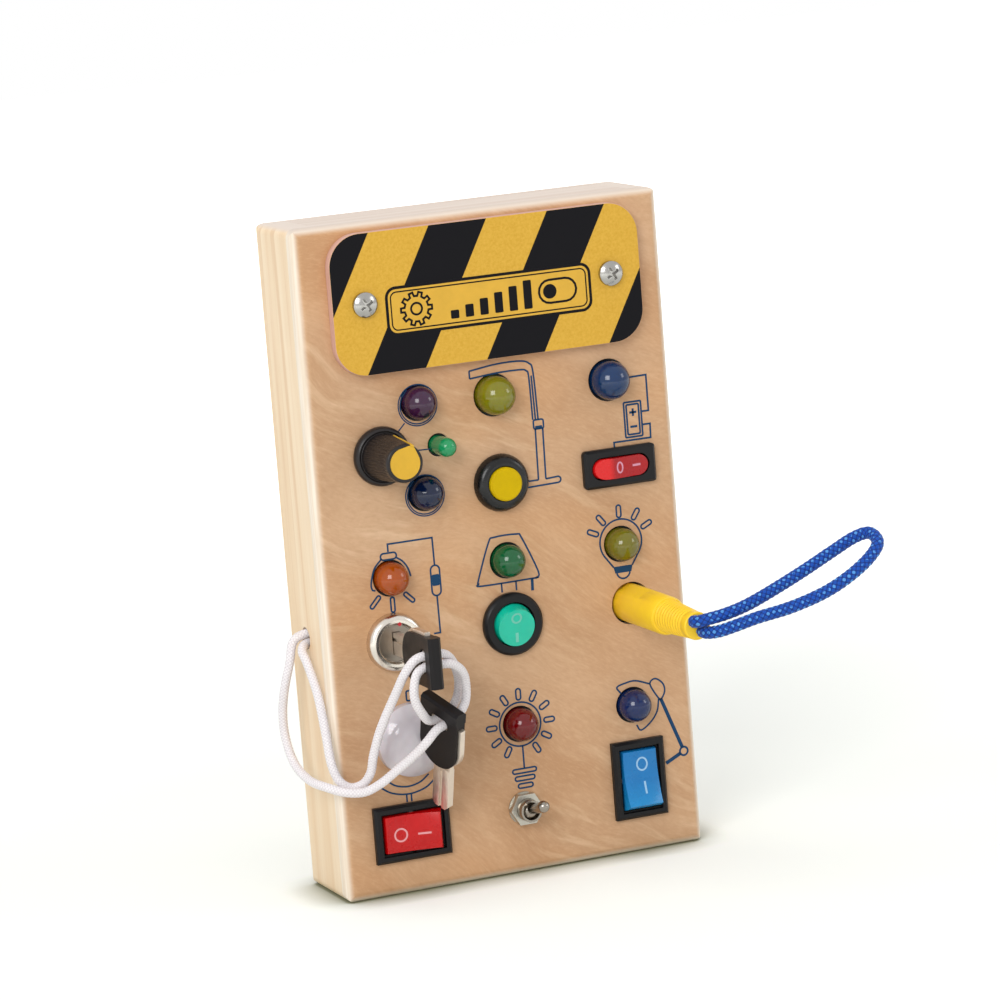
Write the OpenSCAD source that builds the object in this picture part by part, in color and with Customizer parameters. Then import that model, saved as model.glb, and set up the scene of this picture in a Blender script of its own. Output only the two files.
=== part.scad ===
// A wooden switch board for a small child. It is a hollow wooden box that stands on its lower edge,
// with lamps, a turning knob, a push button, four rocker switches, a toggle switch, a key lock with
// two keys on a cord, and a plug with a cord loop.
// X runs to the right, Y runs into the board, Z is up. The origin is the middle of the lower face.

/* [Board] */
// Width of the board
board_w = 102; // [101:1:130]
// Height of the board
board_h = 176; // [174:1:220]
// Depth of the board from front to back
board_d = 28; // [27.5:0.5:40]
// Rounding of all outer edges
edge_r = 2.5; // [1:0.5:3]
// Thickness of the front sheet
front_t = 4; // [3.5:0.5:5]
// Thickness of the back sheet
back_t = 3; // [2.5:0.5:4]
// Thickness of the four frame rails
rail_t = 7; // [6:0.5:7.5]
// Width of rail left outside the back sheet
rebate_edge = 3; // [2.5:0.1:3]
// Distance of each back screw from the outer edges
back_screw_in = 5.1; // [5.1:0.1:5.4]
// Shank diameter of the back's screws
back_screw_d = 2.2; // [2:0.1:2.3]
// Head diameter of the back's screws
back_head_d = 4; // [3.6:0.1:4]

/* [Layout] */
// Heights are given for a striped plate whose lower edge is 137 high, and spread with that edge.
// Distance of the left column of parts from the board's left edge
left_in = 19; // [17:0.1:21]
// Middle column of parts
col_mid = 0.7; // [-2:0.1:3]
// Distance of the right column of parts from the board's right edge
right_in = 17.7; // [17:0.1:20]
// Height of the top row of lamps
row_top = 127.3; // [126:0.1:129]
// Height of the middle row of lamps
row_mid = 83.7; // [82:0.1:85]
// Height of the low row of lamps
row_low = 40; // [38:0.1:42]
// Height of the row with the lock, the round rocker and the plug
row_lock = 66.9; // [65:0.1:68]
// Height of the knob
knob_z = 115.7; // [114:0.1:117]
// Height of the push button
button_z = 104.3; // [102:0.1:106]

/* [Name plate] */
// Width of the striped plate
plate_w = 86; // [80:0.5:94]
// Height of the striped plate
plate_h = 36.5; // [30:0.5:38]
// Thickness of the striped plate
plate_t = 3; // [2:0.5:4]
// Corner radius of the striped plate
plate_r = 8.5; // [4:0.5:12]
// Distance from the top of the board to the middle of the plate
plate_down = 20.7; // [19.5:0.1:24]
// Half the distance between the plate's two screws
plate_screw_x = 34.3; // [30:0.1:36]
// Head diameter of the pan head screws
pan_head_d = 6.5; // [5:0.1:7.5]
// Height of a pan head
pan_head_h = 2.2; // [1.5:0.1:3]
// Shank diameter of the wood screws
screw_d = 2.6; // [2:0.1:3]

/* [Lamps] */
// Diameter of seven of the large lamps
lamp_d = 8.6; // [8:0.1:11]
// Height of their domes over the board
lamp_out = 6; // [5.5:0.1:9]
// Diameter of the two lamps at the right of the top row
big_lamp_d = 10.2; // [8:0.1:11]
// Height of these two lamps' domes over the board
big_lamp_out = 6.8; // [5.5:0.1:9]
// Diameter of the small lamp
small_lamp_d = 5; // [4:0.1:6]
// Height of the small lamp's dome over the board
small_lamp_out = 8.4; // [4:0.1:9]
// Wall of the ring that holds a lamp
holder_wall = 0.4; // [0.3:0.05:1.2]
// Depth of a lamp holder's ring below the face
holder_sink = 0.9; // [0.5:0.1:1.5]
// Length of a lamp's leads behind its flange
lead_len = 6.5; // [3:0.5:8]
// Diameter of the white dome lamp
dome_d = 19.2; // [16:0.1:22]
// Height of the straight side of the white dome lamp
dome_side = 2.4; // [1:0.1:4]
// Height of the white dome lamp over the board
dome_out = 6.8; // [5:0.1:9]
// Sideways offset of the white dome lamp from the left column
dome_dx = 1.8; // [0:0.1:3]
// Sideways distance from the knob to the two dial lamps
dial_dx = 11.4; // [11:0.1:13]
// Height distance from the knob to the two dial lamps
dial_dz = 11.8; // [11.5:0.1:13]
// Distance from the knob to the small lamp
dial_small_dx = 16.2; // [14:0.1:17]

/* [Knob] */
// Diameter of the knob's skirt
skirt_d = 15.5; // [15:0.1:19]
// Diameter of the knob's body over the skirt
knob_low_d = 12; // [12:0.1:13]
// Diameter of the knob's top
knob_top_d = 9.9; // [9:0.1:12]
// Height of the knob's top over the board
knob_out = 17.4; // [15:0.1:20]
// Number of grip flutes round the knob
flutes = 18; // [10:1:24]
// Angle of the pointer from the right, at rest
pointer_angle = 62; // [0:1:180]
// Diameter of the knob's shaft
shaft_d = 6; // [5:0.1:6.4]
// Diameter of the bushing that the shaft turns in
bushing_d = 7.6; // [7.5:0.1:8]
// Diameter of the control behind the board
pot_d = 16.4; // [15:0.1:18]

/* [Push button] */
// Diameter of the button's ring
button_ring_d = 15.2; // [14.5:0.1:17]
// Height of the button's ring
button_ring_h = 3.2; // [2.5:0.1:4]
// Diameter of the button's cap
button_cap_d = 8.8; // [8:0.1:10]
// Height of the cap over its ring
button_proud = 1.2; // [1:0.1:4]
// Travel of the cap
button_travel = 1.5; // [1:0.1:2.1]
// Diameter of the threaded barrel
button_barrel_d = 12.4; // [12.4:0.1:13]
// Depth of the barrel behind the face
button_depth = 16; // [14:0.5:18]

/* [Rocker switches] */
// Length of the large rockers' frame
big_l = 21; // [20:0.1:23]
// Width of the large rockers' frame
big_w = 15; // [13:0.1:17]
// Length of the small rocker's frame
mini_l = 20.6; // [19:0.1:21]
// Width of the small rocker's frame
mini_w = 10.2; // [9.5:0.1:12]
// Diameter of the round rocker's frame
round_d = 16.6; // [16:0.1:19]
// Height of a rocker frame
bezel_t = 2; // [1.5:0.1:2.5]
// Width of the rim round a rocker
rim = 1.75; // [1.6:0.05:2.2]
// Bevel on a rocker frame
bezel_bevel = 0.7; // [0.3:0.1:0.9]
// Tilt of a rocker to each side
rocker_tilt = 10; // [6:0.5:11]
// Depth of a rocker's case behind the face
case_depth = 12; // [11:0.5:14]
// Height of the small rocker
mini_z = 104.1; // [102:0.1:106]
// Height of the red rocker
red_z = 16.8; // [16:0.1:18]
// Height of the blue rocker
blue_z = 20.1; // [19:0.1:22]

/* [Toggle switch] */
// Diameter of the threaded bushing
toggle_bush_d = 5.9; // [5.6:0.1:6.4]
// Height of the bushing over the board
toggle_bush_h = 5.4; // [4.5:0.1:6]
// Width over the flats of the toggle's nut
toggle_nut_w = 8; // [7.5:0.1:9]
// Length of the lever from its pivot
toggle_lever_l = 12; // [9:0.5:15]
// Tilt of the lever to each side
toggle_tilt = 16; // [8:1:16]
// Height of the toggle switch
toggle_z = 17.5; // [16:0.1:20]

/* [Lock and keys] */
// Diameter of the lock's ring
lock_ring_d = 15.5; // [15:0.1:18]
// Height of the lock's ring
lock_ring_h = 2.8; // [2:0.1:3.5]
// Diameter of the lock's barrel
lock_barrel_d = 11.8; // [11.2:0.1:12.4]
// Diameter of the turning core
lock_core_d = 9.6; // [9:0.1:10]
// Depth of the barrel behind the face
lock_depth = 12; // [10:0.5:13]
// Width of a key's blade
blade_w = 5.7; // [5:0.1:6.5]
// Thickness of a key's blade
blade_t = 1.9; // [1.5:0.1:2.2]
// Length of a key's blade
blade_l = 13.3; // [11:0.1:13.8]
// Distance from the board to the inserted key's grip
grip_out = 9; // [6:0.1:10]
// Width of a key's grip
grip_w = 13.2; // [12:0.1:16]
// Length of a key's flat grip below its bar
grip_l = 16.5; // [13.5:0.1:18]
// Thickness of a key's flat grip
grip_t = 2.9; // [2.7:0.1:3.4]
// Thickness of the bar at the end of a key
bar_t = 3.5; // [3.2:0.1:4.5]
// How far the metal shows beside the grip
metal_edge = 0.9; // [0.5:0.1:1.2]
// Sideways offset of the grip from the blade
grip_side = 1.2; // [0.6:0.1:1.6]

/* [Plug] */
// Gap round the plug in its hole
jack_gap = 0.6; // [0.3:0.1:1.5]
// Sideways offset of the plug from the right column
jack_dx = 1.5; // [0:0.1:1.6]
// Diameter of the plug's shell
plug_d = 10.2; // [10:0.1:12]
// Length of the plug's wide shell over the board
plug_wide_l = 23.5; // [20:0.5:32]
// Length of the plug's ribbed sleeve
plug_sleeve_l = 17.1; // [12:0.1:20]
// Diameter of the sleeve where it starts
sleeve_d1 = 8.8; // [8:0.1:9.5]
// Diameter of the sleeve at its end
sleeve_d2 = 7.3; // [7:0.1:8]
// Number of ribs on the sleeve
ribs = 10; // [4:1:12]
// Diameter of the plug's middle pin
pin_d = 3.1; // [2.6:0.1:3.4]

/* [Battery box] */
// Diameter of a cell
cell_d = 10.4; // [10:0.1:10.5]
// Length of a cell's can
cell_l = 43.5; // [40:0.5:44]
// Wall of the battery box
box_wall = 1.5; // [1.2:0.1:2]
// Thickness of the battery door
door_t = 2; // [1.6:0.1:2.5]

/* [Cords] */
// Diameter of the white cord
white_d = 2.4; // [2.2:0.1:2.6]
// Diameter of the blue cord
blue_d = 3.3; // [3:0.1:3.4]

/* [Hidden] */
$fn = 48;

// clearances
fit = 0.05;       // between a part and the hole that it is pressed into
run = 0.06;       // between a turning part and its bore
slack = 0.25;     // between a rocker or a door and its opening
hole_gap = 0.1;   // between a case and its cut-out

front_y = -board_d / 2;
back_y = board_d / 2;
in_back = -(board_d - back_t);          // the back sheet's inner face, seen from the front
plate_z = board_h - plate_down;
tall = (plate_z - plate_h / 2) / 137.05;        // the rows spread over the room below the plate
col_left = -board_w / 2 + left_in;
col_right = board_w / 2 - right_in;
knob_at = [col_left + 0.1, knob_z * tall];
dial_rise = 0.6;      // the two dial lamps sit a little above the middle of their printed rings
dial_1 = knob_at + [dial_dx, dial_dz + dial_rise];
dial_2 = knob_at + [dial_dx, -dial_dz + dial_rise];
dial_small = knob_at + [dial_small_dx, 0.7];
button_at = [col_mid, button_z * tall];
mini_at = [col_right + 0.9, mini_z * tall];
round_at = [col_mid, row_lock * tall];
red_at = [col_left, red_z * tall];
blue_at = [col_right, blue_z * tall];
toggle_at = [col_mid - 0.7, toggle_z * tall];
lock_at = [col_left - 0.3, row_lock * tall];
plug_rise = 0.3;      // the plug sits a little above the middle of its row
jack_at = [col_right + jack_dx + 0.4, row_lock * tall + plug_rise];
dome_at = [col_left + dome_dx, row_low * tall + 1];
plate_at = [0.4, plate_z];
LARGE = [for (p = [[col_mid, row_top], [col_right - 0.1, row_top - 0.2], [col_left, row_mid],
    [col_mid, row_mid], [col_right, row_mid - 0.3], [col_mid, row_low], [col_right, row_low]])
    [p[0], p[1] * tall]];
// place and size of each large lamp
LAMPS = [[dial_1, lamp_d, lamp_out], [dial_2, lamp_d, lamp_out], [LARGE[0], big_lamp_d, big_lamp_out],
    [LARGE[1], big_lamp_d, big_lamp_out], for (i = [2:6]) [LARGE[i], lamp_d, lamp_out]];

function holder_r(d) = d / 2 + 0.08 + holder_wall;
flange_t = 1;
collar_t = 1.5;

// ---------- placing ----------
// a part seen from the front: x to the right, y up, z out of the board
module on_front(at) translate([at[0], front_y, at[1]]) rotate([90, 0, 0]) children();

// ---------- flat shapes ----------
module rounded_rect(w, h, r) {
    square([w - 2 * r, h], center = true);
    square([w, h - 2 * r], center = true);
    for (sx = [-1, 1], sy = [-1, 1]) translate([sx * (w / 2 - r), sy * (h / 2 - r)]) circle(r);
}
module stadium(l, w) {
    square([l - w, w], center = true);
    for (s = [-1, 1]) translate([s * (l - w) / 2, 0]) circle(w / 2);
}

// ---------- solid helpers ----------
module tube(r1, r2, z1, z2) translate([0, 0, z1]) difference() {
    cylinder(h = z2 - z1, r = r1);
    translate([0, 0, -1]) cylinder(h = z2 - z1 + 2, r = r2);
}
module disc(r, z1, z2) translate([0, 0, z1]) cylinder(h = z2 - z1, r = r);
module slab(x1, x2, y1, y2, z1, z2) translate([x1, y1, z1]) cube([x2 - x1, y2 - y1, z2 - z1]);
module hex(w, z1, z2) translate([0, 0, z1]) cylinder(h = z2 - z1, r = w / 2 / cos(30), $fn = 6);
// a box from z = 0 whose four sides lean in at the top
module bevel_box(l, w, h, bev) intersection() {
    rotate([90, 0, 0]) linear_extrude(w + 1, center = true)
        polygon([[-l / 2, 0], [l / 2, 0], [l / 2, h - bev], [l / 2 - bev, h], [bev - l / 2, h],
            [-l / 2, h - bev]]);
    rotate([90, 0, 90]) linear_extrude(l + 1, center = true)
        polygon([[-w / 2, 0], [w / 2, 0], [w / 2, h - bev], [w / 2 - bev, h], [bev - w / 2, h],
            [-w / 2, h - bev]]);
}

// ---------- board ----------
module board_block() intersection() {
    translate([0, 0, board_h / 2]) rotate([90, 0, 0]) linear_extrude(board_d + 2, center = true)
        rounded_rect(board_w, board_h, edge_r);
    linear_extrude(board_h) rounded_rect(board_w, board_d, edge_r);
    translate([0, 0, board_h / 2]) rotate([0, 90, 0]) linear_extrude(board_w + 2, center = true)
        rounded_rect(board_h, board_d, edge_r);
}
inner_x = board_w / 2 - rail_t;
back_w = board_w - 2 * rebate_edge;
back_h = board_h - 2 * rebate_edge;
module back_rebate() translate([-back_w / 2 - fit, back_y - back_t, rebate_edge - fit])
    cube([back_w + 2 * fit, back_t + 1, back_h + 2 * fit]);
module at_back_screws() for (sx = [-1, 1], z = [back_screw_in, board_h - back_screw_in])
    translate([sx * (board_w / 2 - back_screw_in), back_y, z]) rotate([90, 0, 0]) children();
back_screw_l = 12;
module rail_holes() at_back_screws() disc(back_screw_d / 2 + fit, -1, back_screw_l + 0.5);
cord_hole_in = 15;                    // from the face to the middle of the cord's hole
cord_hole_y = front_y + cord_hole_in;
cord_hole_z = lock_at[1] + 1.5;
cord_hole_r = white_d + 0.5;          // two strands side by side
module frame_left() color("#eedbbd") difference() {
    intersection() {
        board_block();
        slab(-board_w / 2 - 1, -inner_x, front_y + front_t, back_y + 1, -1, board_h + 1);
    }
    back_rebate();
    rail_holes();
    translate([-board_w / 2 - 1, cord_hole_y, cord_hole_z]) rotate([0, 90, 0])
        cylinder(h = rail_t + 2, r = cord_hole_r);
}
module frame_right() color("#eedbbd") difference() {
    intersection() {
        board_block();
        slab(inner_x, board_w / 2 + 1, front_y + front_t, back_y + 1, -1, board_h + 1);
    }
    back_rebate();
    rail_holes();
}
module cross_rail(z1, z2) difference() {
    intersection() {
        board_block();
        slab(-inner_x, inner_x, front_y + front_t, back_y + 1, z1, z2);
    }
    back_rebate();
}
module frame_top() color("#f1e2cd") cross_rail(board_h - rail_t, board_h + 1);
module frame_bottom() color("#e9d3b1") cross_rail(-1, rail_t);

module front_panel() color("#d5ae86") difference() {
    intersection() {
        board_block();
        slab(-board_w, board_w, front_y - 1, front_y + front_t, -1, board_h + 1);
    }
    for (p = LAMPS) on_front(p[0]) through(holder_r(p[1]) + fit);
    on_front(dial_small) through(holder_r(small_lamp_d) + fit);
    on_front(dome_at) through(dome_stem_r + fit);
    on_front(knob_at) through(bushing_d / 2 + fit);
    on_front(button_at) through(button_barrel_d / 2 + hole_gap);
    on_front(toggle_at) through(toggle_bush_d / 2 + fit);
    on_front(lock_at) through(lock_barrel_d / 2 + hole_gap);
    on_front(jack_at) through(plug_d / 2 + jack_gap);
    on_front(round_at) through(round_case_r + hole_gap);
    on_front(mini_at) cutout(mini_case_l, mini_case_w);
    on_front(red_at) cutout(big_case_l, big_case_w);
    on_front(blue_at) cutout(big_case_w, big_case_l);
    for (s = [-1, 1]) on_front(plate_at) translate([s * plate_screw_x, 0, 0])
        through(screw_d / 2 + fit);
}
module through(r) disc(r, -front_t - 1, 1);
module cutout(l, w) translate([0, 0, -front_t / 2])
    cube([l + 2 * hole_gap, w + 2 * hole_gap, front_t + 2], center = true);

module back_panel() color("#dcc39c") difference() {
    translate([-back_w / 2, back_y - back_t, rebate_edge]) cube([back_w, back_t, back_h]);
    at_back_screws() {
        disc(back_screw_d / 2 + fit, -1, back_t + 1);
        countersink(back_head_d, back_screw_d, head_cone);
    }
    translate([plate_at[0], back_y - back_t / 2, box_z])
        cube([box_l + 2 * fit, back_t + 2, box_h + 2 * fit], center = true);
}
head_cone = 1.2;
// a cone from the face down to the shank, h deep
module countersink(d1, d2, h) translate([0, 0, -0.02])
    cylinder(h = h + 0.02, r1 = d1 / 2 + 0.02, r2 = d2 / 2);
// a countersunk screw that points along z, with its head just below z = 0
module flat_screw(d1, d2, h, l) difference() {
    union() {
        translate([0, 0, 0.05]) cylinder(h = h, r1 = d1 / 2 - fit, r2 = d2 / 2 - fit);
        disc(d2 / 2, h, l - 1.5);
        translate([0, 0, l - 1.5]) cylinder(h = 1.5, r1 = d2 / 2, r2 = 0.2);
    }
    for (a = [0, 90]) rotate([0, 0, a]) cube([d1 * 0.6, d1 * 0.12, 1.8], center = true);
}
module back_screws() color("#b9b4ab") at_back_screws()
    flat_screw(back_head_d, back_screw_d, head_cone, back_screw_l);

// ---------- striped plate ----------
module striped_plate() color("#dfb04a") on_front(plate_at) difference() {
    linear_extrude(plate_t) rounded_rect(plate_w, plate_h, plate_r);
    for (s = [-1, 1]) translate([s * plate_screw_x, 0, 0]) disc(screw_d / 2 + 0.2, -1, plate_t + 1);
}
module plate_screws() color("#c9c5bd") on_front(plate_at) for (s = [-1, 1])
    translate([s * plate_screw_x, 0, plate_t]) difference() {
        union() {
            intersection() {
                disc(pan_head_d / 2, 0, pan_head_h);
                translate([0, 0, pan_head_h - pan_head_d * 0.8]) sphere(pan_head_d * 0.8);
            }
            disc(screw_d / 2, -plate_t - front_t + 0.5, 0.1);
        }
        for (a = [30, 120]) rotate([0, 0, a]) translate([0, 0, pan_head_h])
            cube([3.6, 0.8, 2.4], center = true);
    }

// ---------- lamps ----------
module lamp(d, out) {
    disc(d / 2, -front_t - collar_t - flange_t, out - d / 2);
    disc(d / 2 + 0.5, -front_t - collar_t - flange_t, -front_t - collar_t);
    translate([0, 0, out - d / 2]) intersection() {
        sphere(d / 2);
        disc(d, 0, d);
    }
}
module holder(d) {
    tube(holder_r(d), d / 2 + 0.08, -front_t - collar_t, -holder_sink);
    tube(holder_r(d) + 1.3, d / 2 + 0.08, -front_t - collar_t, -front_t);
}
module large_lamp(n) on_front(LAMPS[n][0]) lamp(LAMPS[n][1], LAMPS[n][2]);
module lamp_purple() color("#4b2850") large_lamp(0);
module lamp_navy() color("#1a2a52") large_lamp(1);
module lamp_street() color("#8a8a22") large_lamp(2);
module lamp_battery() color("#1c3f75") large_lamp(3);
module lamp_pendant() color("#c2611a") large_lamp(4);
module lamp_table() color("#1f6e42") large_lamp(5);
module lamp_bulb() color("#767a26") large_lamp(6);
module lamp_sun() color("#7a141e") large_lamp(7);
module lamp_desk() color("#26285f") large_lamp(8);
module lamp_small_green() color("#2a9c60") on_front(dial_small) lamp(small_lamp_d, small_lamp_out);
module lamp_holders() color("#221e1c") {
    for (p = LAMPS) on_front(p[0]) holder(p[1]);
    on_front(dial_small) holder(small_lamp_d);
}
lead_w = 0.6;
lead_x = 1.27;        // half the distance between a lamp's two leads
module leads(z) for (s = [-1, 1]) translate([s * lead_x - lead_w / 2, -lead_w / 2, z - lead_len])
    cube([lead_w, lead_w, lead_len]);
module lamp_leads() color("#bdbab2") {
    for (at = concat([for (p = LAMPS) p[0]], [dial_small])) on_front(at)
        leads(-front_t - collar_t - flange_t);
    on_front(dome_at) leads(-front_t - dome_stem);
}
dome_stem_r = dome_d / 2 - 1.6;
dome_stem = 2;        // how far the dome lamp's stem stands out behind the front sheet
dome_rise = dome_out - dome_side;
dome_sr = (dome_d * dome_d / 4 + dome_rise * dome_rise) / (2 * dome_rise);
module dome_lamp() color("#cdc6c4") on_front(dome_at) {
    intersection() {
        disc(dome_d / 2, 0, dome_out + 1);
        translate([0, 0, dome_out - dome_sr]) sphere(dome_sr, $fn = 96);
    }
    disc(dome_stem_r, -front_t - dome_stem, 0.1);
}

// ---------- knob ----------
pot_t = 8;
pot_nut_w = 9.6;
pot_nut_t = 1.8;
bushing_h = 3.4;
shaft_top = 13;
module pot_body() color("#8f8d88") on_front(knob_at) difference() {
    union() {
        disc(pot_d / 2, -front_t - pot_t, -front_t);
        disc(bushing_d / 2, -front_t - 0.5, bushing_h);
        for (x = [-4, 0, 4]) translate([x - 0.6, -pot_d / 2 - 4, -front_t - pot_t + 2]) cube([1.2, 6, 0.8]);
    }
    disc(shaft_d / 2 + run, -front_t - pot_t + 1.5, 5);
}
module knob_shaft() color("#c9c6bf") on_front(knob_at) disc(shaft_d / 2, -front_t - pot_t + 2, shaft_top);
knob_under = 0.7;      // gap between the skirt and the board
skirt_top = 3;         // height of the skirt's flat band
groove_z = 2.6;        // floor of the groove between the band and the knob's body
body_z = 3.6;          // where the grip starts
module knob_form() rotate_extrude($fn = 72) polygon([[0, knob_under], [skirt_d / 2 - 0.2, knob_under],
    [skirt_d / 2, knob_under + 0.4], [skirt_d / 2 - 0.1, 2], [skirt_d / 2 - 0.35, 2.6],
    [skirt_d / 2 - 0.8, skirt_top], [knob_low_d / 2 + 0.6, skirt_top], [knob_low_d / 2 + 0.4, groove_z],
    [knob_low_d / 2 + 0.1, groove_z], [knob_low_d / 2, body_z], [knob_top_d / 2 + 0.15, knob_out - 0.9],
    [knob_top_d / 2, knob_out - 0.4], [knob_top_d / 2 - 0.3, knob_out], [0, knob_out]]);
lean = atan((knob_low_d - knob_top_d) / 2 / (knob_out - body_z));
module knob() color("#25211f") on_front(knob_at) difference() {
    knob_form();
    disc(pot_nut_w / 2 / cos(30) + 0.3, 0, pot_nut_t + 0.3);
    disc(bushing_d / 2 + 0.5, 0, bushing_h + 1);
    disc(shaft_d / 2 + 0.02, 0, shaft_top + 0.3);
    for (i = [1:flutes - 1]) rotate([0, 0, pointer_angle + 360 / flutes * i])
        translate([knob_low_d / 2 + 0.2, 0, body_z + 0.8]) rotate([0, -lean, 0])
            cylinder(h = knob_out - body_z - 2.6, r = 0.55, $fn = 24);
    pointer_form(0.02);
}
drop_r = 4.05;
drop_angle = 47;
drop_end = 0.7;        // half the drop's width where the line starts
line_half = 0.5;
inlay_proud = 0.3;
pocket = 0.5;          // depth of the pointer in the knob's top
// the drop and its line, grown by g on each side
module pointer_form(g) rotate([0, 0, pointer_angle]) {
    translate([0, 0, knob_out - pocket - g]) linear_extrude(pocket + inlay_proud + g) polygon(concat(
        [for (i = [0:30]) let (a = drop_angle + (360 - 2 * drop_angle) * i / 30)
            (drop_r + g) * [cos(a), sin(a)]],
        [[knob_top_d / 2 - 0.3 + g, -drop_end - g], [knob_top_d / 2 - 0.3 + g, drop_end + g]]));
    translate([0, line_half + g, 0]) rotate([90, 0, 0]) linear_extrude(2 * (line_half + g))
        polygon([[knob_top_d / 2 - 0.6 - g, knob_out + inlay_proud - 0.1],
            [knob_top_d / 2 - 0.6 - g, knob_out - 2], [knob_low_d / 2 - 0.5 - g, body_z + 0.5 - g],
            [knob_low_d / 2 + 0.15, body_z + 0.5 - g], [knob_top_d / 2 + 0.35, knob_out - 0.9],
            [knob_top_d / 2 + 0.1, knob_out + inlay_proud - 0.1]]);
}
module knob_pointer() color("#e6b33c") on_front(knob_at) pointer_form(0);

// ---------- nuts behind and before the board ----------
washer_t = 0.5;
lock_nut_t = 2.5;
module panel_nuts() color("#b5b2aa") {
    on_front(knob_at) difference() {
        hex(pot_nut_w, 0, pot_nut_t);
        disc(bushing_d / 2 + fit, -1, pot_nut_t + 1);
    }
    on_front(toggle_at) difference() {
        union() {
            disc(toggle_nut_w / 2 + 0.4, 0, washer_t);
            hex(toggle_nut_w, washer_t, washer_t + 2);
        }
        disc(toggle_bush_d / 2 + fit, -1, washer_t + 3);
    }
    on_front(lock_at) difference() {
        hex(lock_barrel_d + 2.2, -front_t - lock_nut_t, -front_t);
        disc(lock_barrel_d / 2 + fit, -front_t - lock_nut_t - 1, 0);
    }
}

// ---------- push button ----------
cap_flange_r = button_cap_d / 2 + 0.45;
lip_z = 1.2;
ring_round = 2.2;
module button_housing() color("#1d1b1b") on_front(button_at) difference() {
    union() {
        rotate_extrude($fn = 72) polygon(concat([[0, 0]],
            [for (i = [0:6]) let (a = 15 * i) [button_ring_d / 2 - ring_round + ring_round * cos(a),
                button_ring_h * sin(a)]], [[0, button_ring_h]]));
        disc(button_barrel_d / 2, -button_depth, button_ring_h - 1.2);
    }
    disc(button_cap_d / 2 + 0.12, 0, button_ring_h + 1);
    disc(cap_flange_r + 0.15, -button_depth + 2, lip_z);
}
module button_cap() color("#e0c31c") on_front(button_at) {
    disc(button_cap_d / 2, lip_z - 0.5, button_ring_h + button_proud - 0.3);
    disc(button_cap_d / 2 - 0.3, lip_z - 0.5, button_ring_h + button_proud);
    disc(cap_flange_r, lip_z - 1.4, lip_z - 0.1);
    disc(1.6, -button_depth + 2 + button_travel + 1, lip_z - 1);
}
spring_r = 3.4;
spring_wire = 0.6;
spring_top = lip_z - 1.4 - spring_wire / 2;
spring_base = -button_depth + 2 + spring_wire / 2;
spring_turns = 6;
function coil_ring(i, n) = let (t = i / n, a = 360 * spring_turns * t,
    z = spring_base + (spring_top - spring_base) * t)
    [[spring_r * cos(a), spring_r * sin(a), z], [cos(a), sin(a), 0]];
module button_spring() color("#c0c0c0") on_front(button_at) {
    n = spring_turns * 12;
    pts = [for (i = [0:n]) let (c = coil_ring(i, n)) for (k = [0:5])
        c[0] + spring_wire / 2 * (cos(60 * k) * c[1] + sin(60 * k) * [0, 0, 1])];
    polyhedron(pts, tube_faces(n, 6), convexity = 10);
}
button_nut_t = 3;
module button_nut() color("#1d1b1b") on_front(button_at) difference() {
    hex(button_barrel_d + 3, -front_t - button_nut_t, -front_t);
    disc(button_barrel_d / 2 + fit, -front_t - button_nut_t - 1, 0);
}

// ---------- rocker switches ----------
// A paddle turns about an axis along y at z = 0, so every outline below is a solid of revolution
// about that axis and clears its opening at every angle.
case_in = 0.9;
paddle_floor = 2.4;
pin_r = 1;
step_l = 0.5;          // width of the step inside a large frame, at its two ends
step_w = 0.5;          // width of the same step along its sides
step_z = 0.9;          // height of the step over the board
big_r = big_l / 2 - rim - step_l - slack;
big_hw = big_w / 2 - rim - step_w - slack;
big_case_l = big_l - 2 * case_in;
big_case_w = big_w - 2 * case_in;
mini_r = mini_l / 2 - rim - slack - 0.3;
mini_hw = mini_w / 2 - rim - 0.4 - slack;
mini_corner = 1.1;
mini_case_l = mini_l - 2 * case_in - 0.4;
mini_case_w = mini_w - 1.1;
round_r = round_d / 2 - rim - 0.7 - slack;
round_case_r = round_d / 2 - case_in - 0.2;
// the upper limit of a paddle's ends
paddle_top = 4.5;
// hollow scooped out of the top of a paddle of end radius r: mid high in the middle, rise more at the ends
module scoop(r, w, mid, rise) {
    c = (r * r + rise * rise) / (2 * rise);
    translate([0, 0, mid + c]) rotate([90, 0, 0]) cylinder(h = 4 * w, r = c, center = true, $fn = 120);
}
// two flat faces that meet in a ridge: the left one falls away, the right one rises a little
ridge = [-3.1, 3];
ridge_fall = tan(22.3);
ridge_rise = tan(2.4);
module above_ridge(r, w) rotate([90, 0, 0]) linear_extrude(4 * w, center = true) polygon([
    ridge, [2 * r, ridge[1] + (2 * r - ridge[0]) * ridge_rise], [2 * r, 3 * r], [-2 * r, 3 * r],
    [-2 * r, ridge[1] - (2 * r + ridge[0]) * ridge_fall]]);
module paddle_block(r, w, top) translate([-2 * r, -2 * w, -paddle_floor])
    cube([4 * r, 4 * w, top + paddle_floor]);
module axle(half) rotate([90, 0, 0]) cylinder(h = 2 * half, r = pin_r, center = true);
module axle_bore(half) rotate([90, 0, 0]) cylinder(h = 2 * half, r = pin_r + run, center = true);
module stem() translate([-1.2, -1.2, -6]) cube([2.4, 2.4, 5]);

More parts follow.
